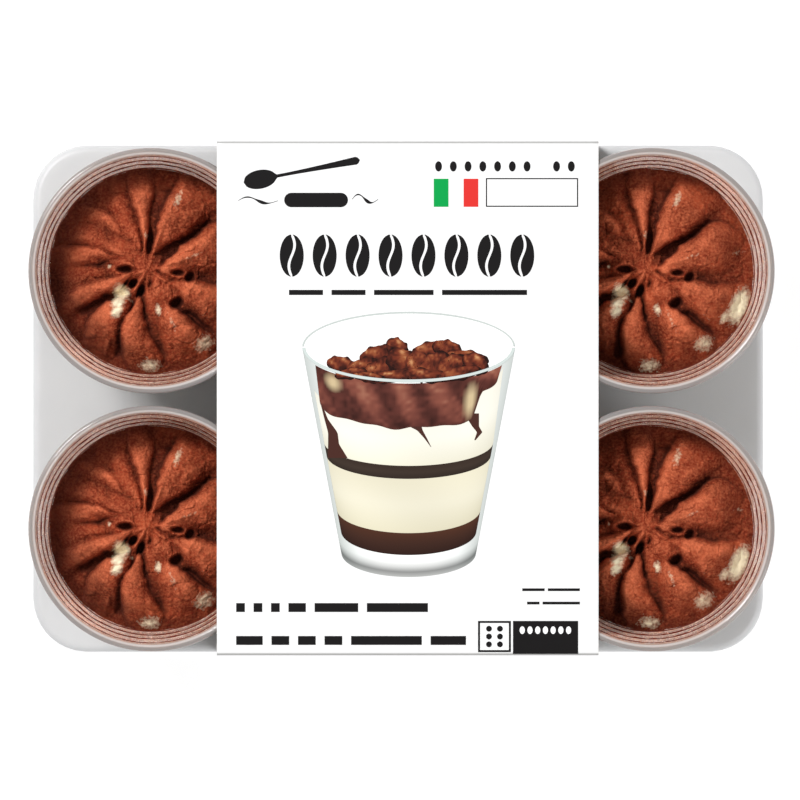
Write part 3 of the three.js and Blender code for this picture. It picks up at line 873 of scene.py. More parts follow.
# A grain is a pyramid of four sides, its corners at a distance of 1 from its middle.
GRAIN_CORNERS = np.array([(1, 1, 1), (1, -1, -1), (-1, 1, -1), (-1, -1, 1)]) / math.sqrt(3)
GRAIN_SIDES = np.array([(0, 1, 2), (0, 3, 1), (0, 2, 3), (1, 3, 2)])


def wall_grains(place):
    """Points, faces and shades of the grains: each at its own angle, height, size, stretch and turn."""
    draw = np.random.default_rng(200 + PLACES.index(place))
    angle = draw.uniform(0, 2 * np.pi, GRAIN_COUNT)
    height = GRAINS_LOW + (GRAINS_HIGH - GRAINS_LOW) * draw.uniform(0, 1, GRAIN_COUNT) ** 1.15
    size = draw.uniform(*GRAIN_SIZES, (GRAIN_COUNT, 1, 1)) * MM
    stretch = draw.uniform(*GRAIN_STRETCH, (GRAIN_COUNT, 1, 3))
    spin = draw.uniform(0, 2 * np.pi, (GRAIN_COUNT, 1))
    cosine, sine = np.cos(spin), np.sin(spin)
    out, beside, up = np.moveaxis(GRAIN_CORNERS * size * stretch, -1, 0)
    beside, up = beside * cosine - up * sine, beside * sine + up * cosine
    radius = inner_radius(height)[:, None] - GRAIN_INSET + out
    turn = angle[:, None] + beside / radius
    across = [AXES[place][0] + radius * np.cos(turn), AXES[place][1] + radius * np.sin(turn)]
    points = np.stack([*across, GLASS_FOOT + height[:, None] + up], axis=-1)
    faces = GRAIN_SIDES[None] + 4 * np.arange(GRAIN_COUNT)[:, None, None]
    shade = np.repeat(draw.uniform(0, 1, GRAIN_COUNT) ** 0.7, 4)
    return points.reshape(-1, 3), faces.reshape(-1, 3), shade


print("a grain has", len(GRAIN_CORNERS), "corners and", len(GRAIN_SIDES), "sides")

# %% [markdown]
# A skin and its grains are two pieces for each glass. The skin is a grid that wraps both ways, like a
# very flat tyre. The grains stay flat-sided, so each side catches the light in its own way.

# %% Make the dusted skins and the grains
for place in PLACES:
    points, painted_ring_strength = dust_and_reflection_skin(place)
    faces = grid_faces(*points.shape[:2], wrap_rows=True)
    dust = new_piece(f"cocoa_dust_with_painted_reflections_on_{place}", points.reshape(-1, 3), faces, DUST_AND_REFLECTIONS, "cocoa")
    set_attribute(dust, "ring", painted_ring_strength.ravel())
    points, faces, shade = wall_grains(place)
    grains = new_piece(f"cocoa_grains_with_painted_reflection_on_{place}", points, faces, GRAINS, "cocoa", smooth=False)
    set_attribute(grains, "shade", shade)
print("grains:", GRAIN_COUNT, "in each glass")

# %% [markdown]
# ## The tray
# The tray is one sheet of pale grey plastic, heated and drawn over a mould: a flat deck with a round
# well under each glass and an edge that turns down. A sheet like that has no sharp corner anywhere. The
# deck is laid out as six cells. Each cell is a grid of rings round its well, from the well's floor, up
# its wall, and out to the four sides of the cell, so the round and the straight edges meet neatly.

# %% Sizes of the tray
SHEET = 0.8 * MM
WELL_RADIUS = 25 * MM
WELL_FLARE = 1.0 * MM
WELL_ROUND = 0.9 * MM
TRAY_CORNER = 15.2 * MM
EDGE_ROUND = 1.3 * MM
SIDE_STEPS = 26
TINY = 1e-12
TRAY_LOW, TRAY_HIGH = (np.array(corner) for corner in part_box("tray"))
TRAY_MIDDLE = (TRAY_LOW + TRAY_HIGH)[:2] / 2
TRAY_HALF = (TRAY_HIGH - TRAY_LOW)[:2] / 2
DECK = TRAY_HIGH[2]
WELL_FLOOR = TRAY_LOW[2] + SHEET
print("tray:", np.round(2 * TRAY_HALF / MM, 1), "mm, deck at", round(DECK / MM, 2), "mm")

# %% [markdown]
# Two short sections give the tray its form: that of the well, from its flat floor round the foot of the
# wall and over its mouth, and that of the edge, from the deck round and down.

# %% Sections of the well and the edge
# Radius and height of the well's section, from the middle of its floor out onto the deck.
MOUTH = WELL_RADIUS + WELL_FLARE
WELL_SECTION = np.concatenate([
    line((POLE_HOLE, WELL_FLOOR), (WELL_RADIUS - 2 * MM, WELL_FLOOR), 6),
    arc((WELL_RADIUS - WELL_ROUND, WELL_FLOOR + WELL_ROUND), WELL_ROUND, -90, -15, 6),
    arc((MOUTH + 0.6 * MM, DECK - WELL_ROUND), WELL_ROUND, 165, 90, 6),
    line((MOUTH + 1.2 * MM, DECK), (MOUTH + 2.4 * MM, DECK), 2),
])
# The same for the edge: how far out, and how far above the deck.
EDGE_SECTION = np.concatenate([
    arc((-EDGE_ROUND, -EDGE_ROUND), EDGE_ROUND, 90, 0, 7)[1:],
    line((0, -EDGE_ROUND - 0.5 * MM), (0, TRAY_LOW[2] - DECK), 3),
])
print("well:", len(WELL_SECTION), "points, edge:", len(EDGE_SECTION), "points")

# %% [markdown]
# A cell starts as a plain rectangle. Where it takes in a corner of the tray, its points are pulled in
# onto the round of that corner, each along its own ray, so that they stay in order.

# %% Sides of a cell
def rounded(points):
    """Pulls points in the outline's corner squares in along rays from their inner corners, onto arcs."""
    straight = TRAY_HALF - TRAY_CORNER
    local = points - TRAY_MIDDLE
    beyond = np.clip(np.abs(local) - straight, 0, None)
    in_corner = beyond.min(1) > 0
    squeeze = np.where(in_corner, beyond.max(1) / np.maximum(np.hypot(*beyond.T), TINY), 1)[:, None]
    moved = np.sign(local) * (straight + beyond * squeeze)
    return TRAY_MIDDLE + np.where(in_corner[:, None], moved, local)


def cell_sides(low, high):
    """Points round a rectangle, anticlockwise from its lower right corner, evenly spaced on each side."""
    corners = np.array([[high[0], low[1]], high, [low[0], high[1]], low])
    share = np.arange(SIDE_STEPS)[:, None] / SIDE_STEPS
    following = np.roll(corners, -1, axis=0)
    return np.concatenate([here + (there - here) * share for here, there in zip(corners, following)])


print("points round a cell:", len(cell_sides((0, 0), (1, 1))))

# %% [markdown]
# The outer sides of the cells carry on over the edge: each point on the outline is pushed outwards and
# down along the edge's own section, a quarter circle and a short wall.

# %% One cell of the tray
DECK_HALF = TRAY_HALF - EDGE_ROUND
WELD = 1e-7


def cell_lines(side):
    """Where cells meet along x (0) or y (1): at the outline and halfway between the wells."""
    middles = np.unique(np.round([axis[side] for axis in AXES.values()], 6))
    start, end = TRAY_MIDDLE[side] - DECK_HALF[side], TRAY_MIDDLE[side] + DECK_HALF[side]
    return [start, *(middles[1:] + middles[:-1]) / 2, end]


def tray_cell(place):
    """Points, quads and fan of one cell: rings from the well out to the cell's sides, then over the edge."""
    row, column = place.split("_")
    at = ("left", "middle", "right").index(column), ("front", "back").index(row)
    low, high = (np.array([cell_lines(side)[at[side] + step] for side in (0, 1)]) for step in (0, 1))
    square = cell_sides(low, high)
    side = rounded(square)
    toward = side - AXES[place]
    ray = toward / np.hypot(*toward.T)[:, None]
    wells = AXES[place] + ray * WELL_SECTION[:, 0, None, None]
    spans = wells[-1] + (side - wells[-1]) * np.linspace(0, 1, 8)[1:, None, None]
    straight = TRAY_HALF - TRAY_CORNER
    corner = TRAY_MIDDLE + np.sign(side - TRAY_MIDDLE) * straight
    from_corner = (side - corner) * (np.abs(side - TRAY_MIDDLE) > straight)
    outward = from_corner / np.maximum(np.hypot(*from_corner.T), TINY)[:, None]
    edges = side + outward * (EDGE_ROUND + EDGE_SECTION[:, 0, None, None])
    across = np.concatenate([wells, spans, edges])
    heights = np.concatenate([WELL_SECTION[:, 1], np.full(len(spans), DECK), DECK + EDGE_SECTION[:, 1]])
    heights = np.broadcast_to(heights[:, None, None], (*across.shape[:2], 1))
    points = np.concatenate([across, heights], axis=-1).reshape(-1, 3)
    quads, around = grid_faces(*across.shape[:2]), len(side)
    # Only the outline goes over the edge, so faces of the edge's rings under inner sides are left out.
    on_outline = (np.abs(square - TRAY_MIDDLE) - DECK_HALF).max(1) > -WELD
    start, in_edge = quads[:, 0] % around, quads[:, 0] // around >= len(wells) + len(spans) - 1
    quads = quads[~in_edge | (on_outline[start] & on_outline[(start + 1) % around])]
    here = np.arange(around)
    fan = np.stack([np.full(around, len(points)), here, (here + 1) % around], axis=-1)
    return np.concatenate([points, [[*AXES[place], WELL_FLOOR]]]), quads, fan


print("a cell has", len(tray_cell(PLACES[0])[0]), "points")

# %% [markdown]
# Neighbouring cells have the same points on the side that they share. Welding makes such points one, so
# that the sheet is one piece and its thickness has no seam.

# %% Weld the cells
def welded(points, *face_sets):
    """Points that share a place become one, and points that no face uses go."""
    keys = np.round(points / WELD).astype(np.int64)
    _, first, number = np.unique(keys, axis=0, return_index=True, return_inverse=True)
    face_sets = [number.ravel()[faces] for faces in face_sets]
    used = np.unique(np.concatenate([faces.ravel() for faces in face_sets]))
    renumber = np.zeros(len(first), int)
    renumber[used] = np.arange(len(used))
    return points[first][used], *(renumber[faces] for faces in face_sets)


cells = [tray_cell(place) for place in PLACES]
starts = np.cumsum([0] + [len(points) for points, _, _ in cells])
quads, fans = (np.concatenate([cell[kind] + start for cell, start in zip(cells, starts)]) for kind in (1, 2))
tray_points, quads, fans = welded(np.concatenate([points for points, _, _ in cells]), quads, fans)
print("tray:", len(tray_points), "points after welding")

# %% [markdown]
# ### Thermoformed plastic
# The sheet is polystyrene filled with white and a little grey. Its skin is satin, with a very faint
# orange peel from the mould, and some light goes through it.

# %% Material: thermoformed sheet
TRAY, tree, shader = new_material("thermoformed_grey_polystyrene", Roughness=0.42, IOR=1.55,
                                  Subsurface_Weight=0.5, Subsurface_Radius=(1, 1, 1),
                                  Subsurface_Scale=1.2 * MM)
where = add(tree, "TexCoord", output="Object")
cloud, peel = (add(tree, "TexNoise", {"Vector": where, **blotches(size * MM, detail)})
               for size, detail in ((20, 3), (0.9, 2)))
fill(shader, {
    "Base Color": add(tree, "ValToRGB", {"Fac": cloud}, stops=[(0.35, "#CDCDCE"), (0.65, "#D3D3D4")]),
    "Normal": add(tree, "Bump", {"Height": peel, "Distance": 0.02 * MM}),
})

# %% [markdown]
# The drawn surface is the top of the sheet. Solidify adds the thickness below it, and closes the skin
# at the lower edge.

# %% Make the tray
tray = new_piece("thermoformed_tray", tray_points, quads.tolist() + fans.tolist(), TRAY, "tray")
sheet = tray.modifiers.new("sheet thickness", "SOLIDIFY")
sheet.thickness = SHEET
sheet.offset = -1
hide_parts("tray")
print("tray:", len(quads) + len(fans), "faces before its thickness")

# %% [markdown]
# ## The card sleeve
# The sleeve is white folding boxboard, printed, creased at four edges and glued into a tube. Its section
# is a rectangle with small round folds. The same section carried along X, out along the outside and back
# along the inside, closes on itself and gives the card its real thickness, with the cut edges eased.

# %% Sizes of the sleeve
CARD = 0.5 * MM
FOLD_RADIUS = 1.2 * MM
CUT_EASE = 0.08 * MM
INK = 0.02 * MM
INK_LEVELS = 6
FOLD_STEPS, SIDE_ROWS, LENGTH_STEPS = 10, 12, 20
SLEEVE_LOW, SLEEVE_HIGH = (np.array(corner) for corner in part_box("sleeve"))
SLEEVE_HIGH[2] -= INK_LEVELS * INK
BOARD_TOP = SLEEVE_HIGH[2]


def sleeve_loop(inset):
    """The section in Y and Z at a depth below the outside: four straight sides joined by quarter circles."""
    middle = (SLEEVE_LOW + SLEEVE_HIGH)[1:] / 2
    half = (SLEEVE_HIGH - SLEEVE_LOW)[1:] / 2 - FOLD_RADIUS
    arcs = [arc(middle + half * sign, FOLD_RADIUS - inset, start, start + 90, FOLD_STEPS)
            for sign, start in (((1, 1), 0), ((-1, 1), 90), ((-1, -1), 180), ((1, -1), 270))]
    sides = [line(arcs[i][-1], arcs[(i + 1) % 4][0], SIDE_ROWS)[1:-1] for i in range(4)]
    return np.concatenate([part for pair in zip(arcs, sides) for part in pair])


print("sleeve:", *(np.round((SLEEVE_HIGH - SLEEVE_LOW) / MM, 1)), "mm")

# %% [markdown]
# The section is repeated at places along X. Its depth below the outside grows from nothing to the card's
# thickness at one cut edge, and shrinks again at the other, which makes one closed skin.

# %% Loops of the sleeve
# Along X and into the card: over the outside at depth 0, round the cut edge and back along the inside.
left, right = SLEEVE_LOW[0], SLEEVE_HIGH[0]
flat = np.linspace(left + 2 * MM, right - 2 * MM, LENGTH_STEPS)
ALONG = [left + CUT_EASE, *flat, right - CUT_EASE, right, right,
         right - CUT_EASE, *flat[::-1], left + CUT_EASE, left, left]
DEPTH = np.repeat([0, CUT_EASE, CARD - CUT_EASE, CARD, CARD - CUT_EASE, CUT_EASE],
                  [LENGTH_STEPS + 2, 1, 1, LENGTH_STEPS + 2, 1, 1])
loops = np.stack([np.insert(sleeve_loop(inset), 0, x, axis=1) for x, inset in zip(ALONG, DEPTH)])
sleeve_faces = grid_faces(*loops.shape[:2], wrap_rows=True)[:, ::-1]
# From 0 on the flat sides to 1 in the middle of each fold, for the points of one loop.
swell = np.sin(np.linspace(0, np.pi, FOLD_STEPS)) ** 4
CREASE_LINE = np.tile(np.concatenate([swell, np.zeros(SIDE_ROWS - 2)]), 4)
print("sleeve:", loops.shape[0], "loops of", loops.shape[1], "points")

# %% [markdown]
# ### Coated board
# The outside is coated with clay and very smooth, a clean white with a slight gloss. The inside and the
# cut edges are bare fibre, greyer and rougher. Along each fold the coating is stretched and lets a little
# grey through, and the grey there is also painted shade, the dark line that a rounded fold shows at the
# sleeve's edge. How bare a point is, and how near to a fold, rides on the mesh as numbers.

# %% Material: coated folding boxboard
BOARD, tree, shader = new_material("clay_coated_folding_boxboard", IOR=1.5)
bare, crease = (add(tree, "Attribute", output="Fac", attribute_name=name) for name in ("bare", "crease"))
where = add(tree, "TexCoord", output="Object")
along_grain = add(tree, "Mapping", {"Vector": where, "Scale": (1, 4, 1)})
fibres = add(tree, "TexNoise", {"Vector": along_grain, **blotches(0.6 * MM, 4)})
pores = add(tree, "TexNoise", {"Vector": where, **blotches(0.5 * MM)})
fibre = add(tree, "ValToRGB", {"Fac": fibres}, stops=[(0.3, "#D8D5CD"), (0.7, "#E6E3DC")])
# Grey along the folds: partly the stretched coating, partly painted shade along the sleeve's edges.
coat_and_fold_shade = add(tree, "Mix", {0: crease, 6: "#EEEEEE", 7: "#A3A2A0"}, 2, data_type="RGBA")
fill(shader, {
    "Base Color": add(tree, "Mix", {0: bare, 6: coat_and_fold_shade, 7: fibre}, 2, data_type="RGBA"),
    "Roughness": add(tree, "MapRange", {"Value": bare, "To Min": 0.38, "To Max": 0.85}),
    "Normal": add(tree, "Bump", {"Height": pores, "Distance": 0.008 * MM}),
})

# %% [markdown]
# The sleeve carries both numbers. It is bare where the depth is more than the easing of the cut, so
# the coating ends just on the edge, as it does where a knife went through the card.

# %% Make the sleeve
sleeve = new_piece("card_sleeve", loops.reshape(-1, 3), sleeve_faces, BOARD, "card")
set_attribute(sleeve, "bare", np.repeat(DEPTH > CUT_EASE / 2, loops.shape[1]))
set_attribute(sleeve, "crease", np.tile(CREASE_LINE, len(DEPTH)))
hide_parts("sleeve")
print("sleeve:", len(sleeve_faces), "faces")

# %% [markdown]
# ## What is printed on the sleeve
# Offset ink lies on the board as a film too thin to feel. Here each print is a slab of ink a few
# hundredths of a millimetre high, so that it stays a piece of its own that can be swapped. The small
# print is bars and dots, and the main line is a row of coffee beans. Every shape is a grid of points
# between a lower and an upper curve, raised to a closed slab. Where inks overlap, the one on top has the
# higher level.

# %% Slabs of ink
def ruled(lower, upper, rows=2):
    """A grid between two curves: lower + share * (upper - lower), for shares from 0 to 1."""
    return lower + (upper - lower) * np.linspace(0, 1, rows)[:, None, None]


def ink_slab(grid, level):
    """Points and faces of a closed slab under a flat grid: its top, its underside and the walls round it."""
    rows, columns = grid.shape[:2]
    flat, count = grid.reshape(-1, 2), rows * columns
    top = np.column_stack([flat, np.full(count, BOARD_TOP + level * INK)])
    under = np.column_stack([flat, np.full(count, BOARD_TOP - INK / 2)])
    faces = grid_faces(rows, columns, wrap_columns=False)
    number = np.arange(count).reshape(rows, columns)
    border = np.concatenate([number[0, :-1], number[:-1, -1], number[-1, :0:-1], number[:0:-1, 0]])
    beside = np.roll(border, -1)
    walls = np.stack([border + count, beside + count, beside, border], axis=-1)
    return np.concatenate([top, under]), np.concatenate([faces, faces[:, ::-1] + count, walls])


def ink_piece(name, shapes, ink, level=1, colours=()):
    """One piece of print from several grids in metres; colours gives one linear colour for each point."""
    slabs = [ink_slab(grid, level) for grid in shapes]
    starts = np.cumsum([0] + [len(points) for points, _ in slabs])
    faces = np.concatenate([faces + start for (_, faces), start in zip(slabs, starts)])
    piece = new_piece(name, np.concatenate([points for points, _ in slabs]), faces, ink, smooth=False)
    if colours:
        # A slab has each point twice, on top and underneath, and a colour has a fourth number, its alpha.
        both = np.concatenate([np.tile(colour.reshape(-1, 3), (2, 1)) for colour in colours])
        values = np.insert(both, 3, 1, axis=1).ravel().astype(np.float32)
        piece.data.attributes.new("ink", "FLOAT_COLOR", "POINT").data.foreach_set("color", values)
    return piece


print("corners of a slab from 2 x 2 points:", len(ink_slab(np.zeros((2, 2, 2)), 1)[0]))

# %% [markdown]
# A few plain shapes make up most of the print: bars with square or round ends, ovals and frames. All of
# them take millimetres from the middle of the sleeve, because that is how a print is laid out.

# %% Shapes to print
def bar(left, low, right, high):
    """An upright rectangle with sides in mm."""
    return ruled(line((left, low), (right, low), 2), line((left, high), (right, high), 2)) * MM


# A slab needs some width at its ends, so the outlines of ovals start a little after their tips.
TIP = 0.08


def oval(x, y, half_width, half_height, steps=25):
    """A filled ellipse in mm: y between -h * sqrt(1 - u * u) and +h * sqrt(1 - u * u)."""
    turn = np.linspace(TIP, np.pi - TIP, steps)
    along, tall = x - half_width * np.cos(turn), half_height * np.sin(turn)
    return ruled(np.column_stack([along, y - tall]), np.column_stack([along, y + tall])) * MM


def round_bar(left, low, right, high):
    """A bar in mm with half-round ends."""
    radius = (high - low) / 2
    turn = np.linspace(TIP, np.pi / 2, 9)
    ends = radius * (1 - np.cos(turn)), radius * np.sin(turn)
    along = np.concatenate([left + ends[0], (right - ends[0])[::-1]])
    tall = np.concatenate([ends[1], ends[1][::-1]])
    middle = (low + high) / 2
    return ruled(np.column_stack([along, middle - tall]), np.column_stack([along, middle + tall])) * MM


def outline_box(left, low, right, high, width):
    """The four sides of a box, in mm, as bars of a width that meet at the corners."""
    return [bar(left, low, right, low + width), bar(left, high - width, right, high),
            bar(left, low + width, left + width, high - width),
            bar(right - width, low + width, right, high - width)]


print("a box is", len(outline_box(0, 0, 2, 1, 0.1)), "bars")

# %% [markdown]
# ### Inks
# Printing ink dries to a thin satin coat. Plain inks have one colour. The picture's ink takes its colour
# from the points of its mesh, as four-colour printing would mix it.

# %% Materials: inks
INK_FINISH = {"Roughness": 0.5, "Specular_IOR_Level": 0.12}
INK_COLOURS = {"black": "#141213", "green": "#029C48", "red": "#D7322E", "white": "#FBFBFB"}
INKS = {name: new_material(f"offset_ink_{name}", Base_Color=colour, **INK_FINISH)[0]
        for name, colour in INK_COLOURS.items()}
PICTURE_INK, tree, shader = new_material("offset_ink_four_colour", **INK_FINISH)
fill(shader, {"Base Color": add(tree, "Attribute", output="Color", attribute_name="ink")})
print("inks:", *INKS, "and four-colour")

# %% [markdown]
# ### Bars, dots and beans
# The small print is greeked, as in a designer's first layout: a line is a row of bars of several lengths,
# each of them a number of even steps. A coffee bean is an oval with a bent slit: for each height, one
# part runs from the left side to the slit, and the other from the slit to the right.

# %% Lines of greeked print and the row of beans
def greeked(left, right, low, high, lengths):
    """A line of bars: lengths in steps, with gaps of one step, stretched to fill from left to right."""
    starts = np.cumsum([0] + [length + 1 for length in lengths])
    unit = (right - left) / (starts[-1] - 1)
    return [bar(left + start * unit, low, left + (start + length) * unit, high)
            for start, length in zip(starts, lengths)]


def bean(x, y, half_width, half_height):
    """Two parts of a coffee bean in mm, on either side of a slit bent like an S."""
    tall = np.linspace(-0.985, 0.985, 25)
    side = half_width * np.sqrt(1 - tall ** 2)
    slit = np.clip(0.24 * half_width * np.sin(np.pi * tall), -0.5 * side, 0.5 * side)
    gap = np.minimum(0.11 * half_width, 0.3 * side)
    left, slit_left, slit_right, right = (np.column_stack([x + across, y + half_height * tall])
                                          for across in (-side, slit - gap, slit + gap, side))
    return [ruled(*pair).transpose(1, 0, 2) * MM for pair in ((left, slit_left), (slit_right, right))]


BEAN_COUNT, BEAN_START, BEAN_PITCH = 8, -32.0, 9.6
beans = [part for number in range(BEAN_COUNT)
         for part in bean(BEAN_START + number * BEAN_PITCH, 41.6, 3.5, 6.2)]
ink_piece("print_row_of_beans", beans, INKS["black"])
# Each line of bars: its left, right, lower and upper side in mm, and the lengths of its bars.
ROWS = [(-32.8, 36.6, 30.1, 31.6, (4, 4, 7, 10)), (-48.2, 7.7, -62.3, -59.7, (1, 1, 1, 2, 5, 7)),
        (-48.2, 18.8, -71.9, -69.3, (3, 2, 2, 2, 8, 4)), (35.2, 52.0, -56.2, -55.4, (7, 10)),
        (36.6, 52.0, -60.1, -59.3, (4, 12))]
dots = [oval(10.8 + 4.3 * slot, 67.6, 1.0, 1.5) for slot in range(10) if slot != 7]
ink_piece("print_text_bars", [part for row in ROWS for part in greeked(*row)] + dots, INKS["black"])
print("bars:", sum(len(lengths) for *_, lengths in ROWS), "dots:", len(dots))

# %% [markdown]
# ### Spoon, flag and boxes
# In the upper left a dessert spoon stands over a plain black label. In the upper right there is a flag of
# three fields with an empty outlined field beside it. At the foot are a box with six dots, one for each
# glass, and a black field.

# %% Spoon, flag and boxes
def spoon(x, y, length, tilt):
    """A spoon seen from above: half its width along its length is a bowl, a narrow neck and a handle."""
    along = np.linspace(0, 1, 60)
    bowl = 2.7 * np.sqrt(np.clip(1 - ((along - 0.14) / 0.14) ** 2, 0, 1)) * (along < 0.28)
    handle = 0.42 + 0.75 * np.clip((along - 0.35) / 0.65, 0, 1) ** 1.5
    handle = handle * np.sqrt(np.clip((1 - along) / 0.03, 0, 1)) * (along > 0.02)
    half = (np.maximum(bowl, handle) + 0.05)[:, None]
    cosine, sine = math.cos(math.radians(tilt)), math.sin(math.radians(tilt))
    middle = np.array([x, y]) + length * along[:, None] * (cosine, sine)
    sideways = half * (-sine, cosine)
    return ruled(middle - sideways, middle + sideways) * MM


def flourish(x, y, wide, tall, turns, thickness):
    """A pen stroke in mm: along x, its height and its width swing as sines, and both its ends are thin."""
    share = np.linspace(0, 1, 70)
    swing = tall * np.sin(2 * np.pi * turns * share) * (1 - 0.5 * share)
    middle = np.column_stack([x + wide * share, y + swing])
    along = np.gradient(middle, axis=0)
    across = np.column_stack([-along[:, 1], along[:, 0]]) / np.hypot(*along.T)[:, None]
    swell = np.sin(np.pi * share) ** 2 * (0.6 + 0.4 * np.sin(4 * np.pi * turns * share))
    half = (0.08 + thickness / 2 * swell)[:, None]
    return ruled(middle - half * across, middle + half * across) * MM


ink_piece("print_spoon", [spoon(-46.0, 62.9, 34.5, 11), flourish(-47.6, 57.6, 11.6, 1.2, 1.0, 0.9),
                          flourish(-14.4, 58.0, 7.6, 1.6, 1.0, 0.9)], INKS["black"])
ink_piece("print_label", [round_bar(-34.2, 55.7, -15.6, 59.9)], INKS["black"], level=2)
for colour, left in (("green", 9.4), ("red", 18.1)):
    ink_piece(f"print_flag_{colour}", [bar(left, 55.8, left + 4.3, 64.0)], INKS[colour])
dots = [oval(22.3 + 9.6 * i / 3, -64.9 - 9.1 * j / 4, 0.85, 0.85) for i in (1, 2) for j in (1, 2, 3)]
boxes = outline_box(24.6, 55.8, 51.5, 64.2, 0.35) + outline_box(22.3, -74.0, 31.9, -64.9, 0.6)
ink_piece("print_boxes", boxes + dots + [bar(32.5, -74.5, 51.5, -64.9)], INKS["black"])
dots = [oval(35.2 + 2.25 * slot, -67.6, 0.75, 1.1) for slot in range(7)]
ink_piece("print_field_dots", dots, INKS["white"], level=2)
print("boxes:", len(boxes) // 4, "dots in the dark field:", len(dots))

# %% [markdown]
# ### The printed picture
# The front shows a glass of the dessert, seen from slightly above. The picture is built like the real
# glass: a level line round its front is half an ellipse, and each layer is the field between two such
# lines. The cocoa-dusted swirls are ovals with ragged edges. Colour follows simple shading: darker
# towards the sides, and streaked where the swirls turn.

# %% Lines and colours of the picture
# All in mm: the middle of the picture, the mouth of the glass, and how far a level line sags in front.
PICTURE_X = 2.1
MOUTH_Y, MOUTH_WIDE, MOUTH_TALL = 14.9, 31.0, 10.3
SAG = 7.0
TAPER = 0.19
# Places across the picture from -1 at its left side to 1 at its right, closer together at the sides.
U = -np.cos(np.linspace(0.02, np.pi - 0.02, 61))
ROUND = np.sqrt(1 - U ** 2)


def level_line(middle, inset=1.1, rise=0.0):
    """A line round the front of the glass: y = middle + sag * (1 - sqrt(1 - u * u)), x = half width * u."""
    half = MOUTH_WIDE + TAPER * (middle + SAG - MOUTH_Y) - inset
    return np.column_stack([PICTURE_X + half * U, middle + SAG * (1 - ROUND) + rise])


def mouth_line(side, grow=0.0):
    """The far (+1) or near (-1) half of the mouth's ellipse, grown or shrunk by a number of mm."""
    x, y = PICTURE_X + (MOUTH_WIDE + grow) * U, MOUTH_Y + side * (MOUTH_TALL + grow) * ROUND
    return np.column_stack([x, y])


def tones(value, *hexes):
    """Blends evenly spaced colours by a value from 0 to 1, in linear light."""
    stops = np.array([linear(colour)[:3] for colour in hexes])
    places = np.linspace(0, 1, len(hexes))
    return np.stack([np.interp(value, places, stops[:, channel]) for channel in range(3)], axis=-1)


def plain(grid, colour):
    """The same colour for each point of a grid."""
    return np.broadcast_to(linear(colour)[:3], (*grid.shape[:2], 3))


def patch(lower, upper, rows):
    """A grid between two lines of the picture, and its coordinates: across from -1 to 1, up from 0 to 1."""
    across, up = np.meshgrid(U, np.linspace(0, 1, rows))
    return ruled(lower, upper, rows) * MM, across, up


print("the pictured mouth is", 2 * MOUTH_WIDE, "by", 2 * MOUTH_TALL, "mm")

# %% [markdown]
# The glass is drawn first, as a clear field that darkens towards its sides and foot, with the mouth as a
# full ellipse. The four layers lie on it. They are bent down at the middle, as a level is when the eye
# looks in from above, and each blends through three tones from its lower edge to its upper one.

# %% The glass and its layers
glass_front, across, up = patch(level_line(-52.1, 0.0), mouth_line(-1), 40)
clear = tones(np.clip(1.6 - 1.55 * np.abs(across), 0, 1), "#B4BAB7", "#E9ECEA", "#F6F7F5")
foot_shade = np.exp(-((up - 0.02) / 0.035) ** 2)[..., None]
mouth = ruled(mouth_line(-1, -0.2), mouth_line(1, -0.2), 12) * MM
ink_piece("picture_glass", [glass_front, mouth], PICTURE_INK, 1,
          [clear * (1 - 0.75 * foot_shade), plain(mouth, "#F8F9F7")])

wavy = 0.35 * np.sin(9 * U) + 0.25 * np.sin(17 * U + 1)
# Near its right side the swirl comes less far down: its lower edge rises by 6.5 mm in a smooth step.
step = np.clip((U - 0.70) / 0.14, 0, 1)
right_rise = 6.5 * step ** 2 * (3 - 2 * step)
# Each layer: its lower and upper height at the middle, how much its top follows the rise, its colours.
PICTURE_LAYERS = [
    (-45.7, -39.3, 0, ("#2A1610", "#3B2219", "#4A2A1C")),
    (-39.3, -23.5, 0, ("#D6D0B6", "#E2DDC8", "#DDD7BF")),
    (-23.5, -19.7, 0, ("#2B211B", "#3A2E26", "#33261F")),
    (-19.7, -4.0, 1, ("#E3DFCC", "#EEECE0", "#E9E6D8")),
]
shapes, colours = [], []
for low, high, follows, palette in PICTURE_LAYERS:
    grid, across, up = patch(level_line(low), level_line(high, rise=follows * right_rise), 12)
    shade = 1 - 0.16 * across ** 6 - 0.05 * np.sin(3 * across + 2 * up)
    shapes.append(grid)
    colours.append(tones(up, *palette) * shade[..., None])
ink_piece("picture_layers", shapes, PICTURE_INK, 2, colours)
print("picture layers:", len(shapes))

# %% [markdown]
# The cocoa-stained swirl behind the glass is one field whose lower edge waves, with tongues that run down
# over the cream. Its tone is a slanting wave, so it reads as petals that lean.

# %% Swirl of the picture
def tongue(points, widths):
    """A tapering drip along a bent line, in mm."""
    points, widths = np.array(points, float), np.array(widths, float)
    share, fine = np.linspace(0, 1, len(points)), np.linspace(0, 1, 20)
    middle = np.column_stack([np.interp(fine, share, points[:, 0]), np.interp(fine, share, points[:, 1])])
    half = np.interp(fine, share, widths)[:, None] / 2 * (1, 0)
    return ruled(middle - half, middle + half).transpose(1, 0, 2)[::-1] * MM


def blot(across, up, centre, size, strength):
    """A soft spot of the swirl: strength less the distance from its centre, in its own sizes."""
    return np.clip(strength - np.hypot((across - centre[0]) / size[0], (up - centre[1]) / size[1]), 0, 1)


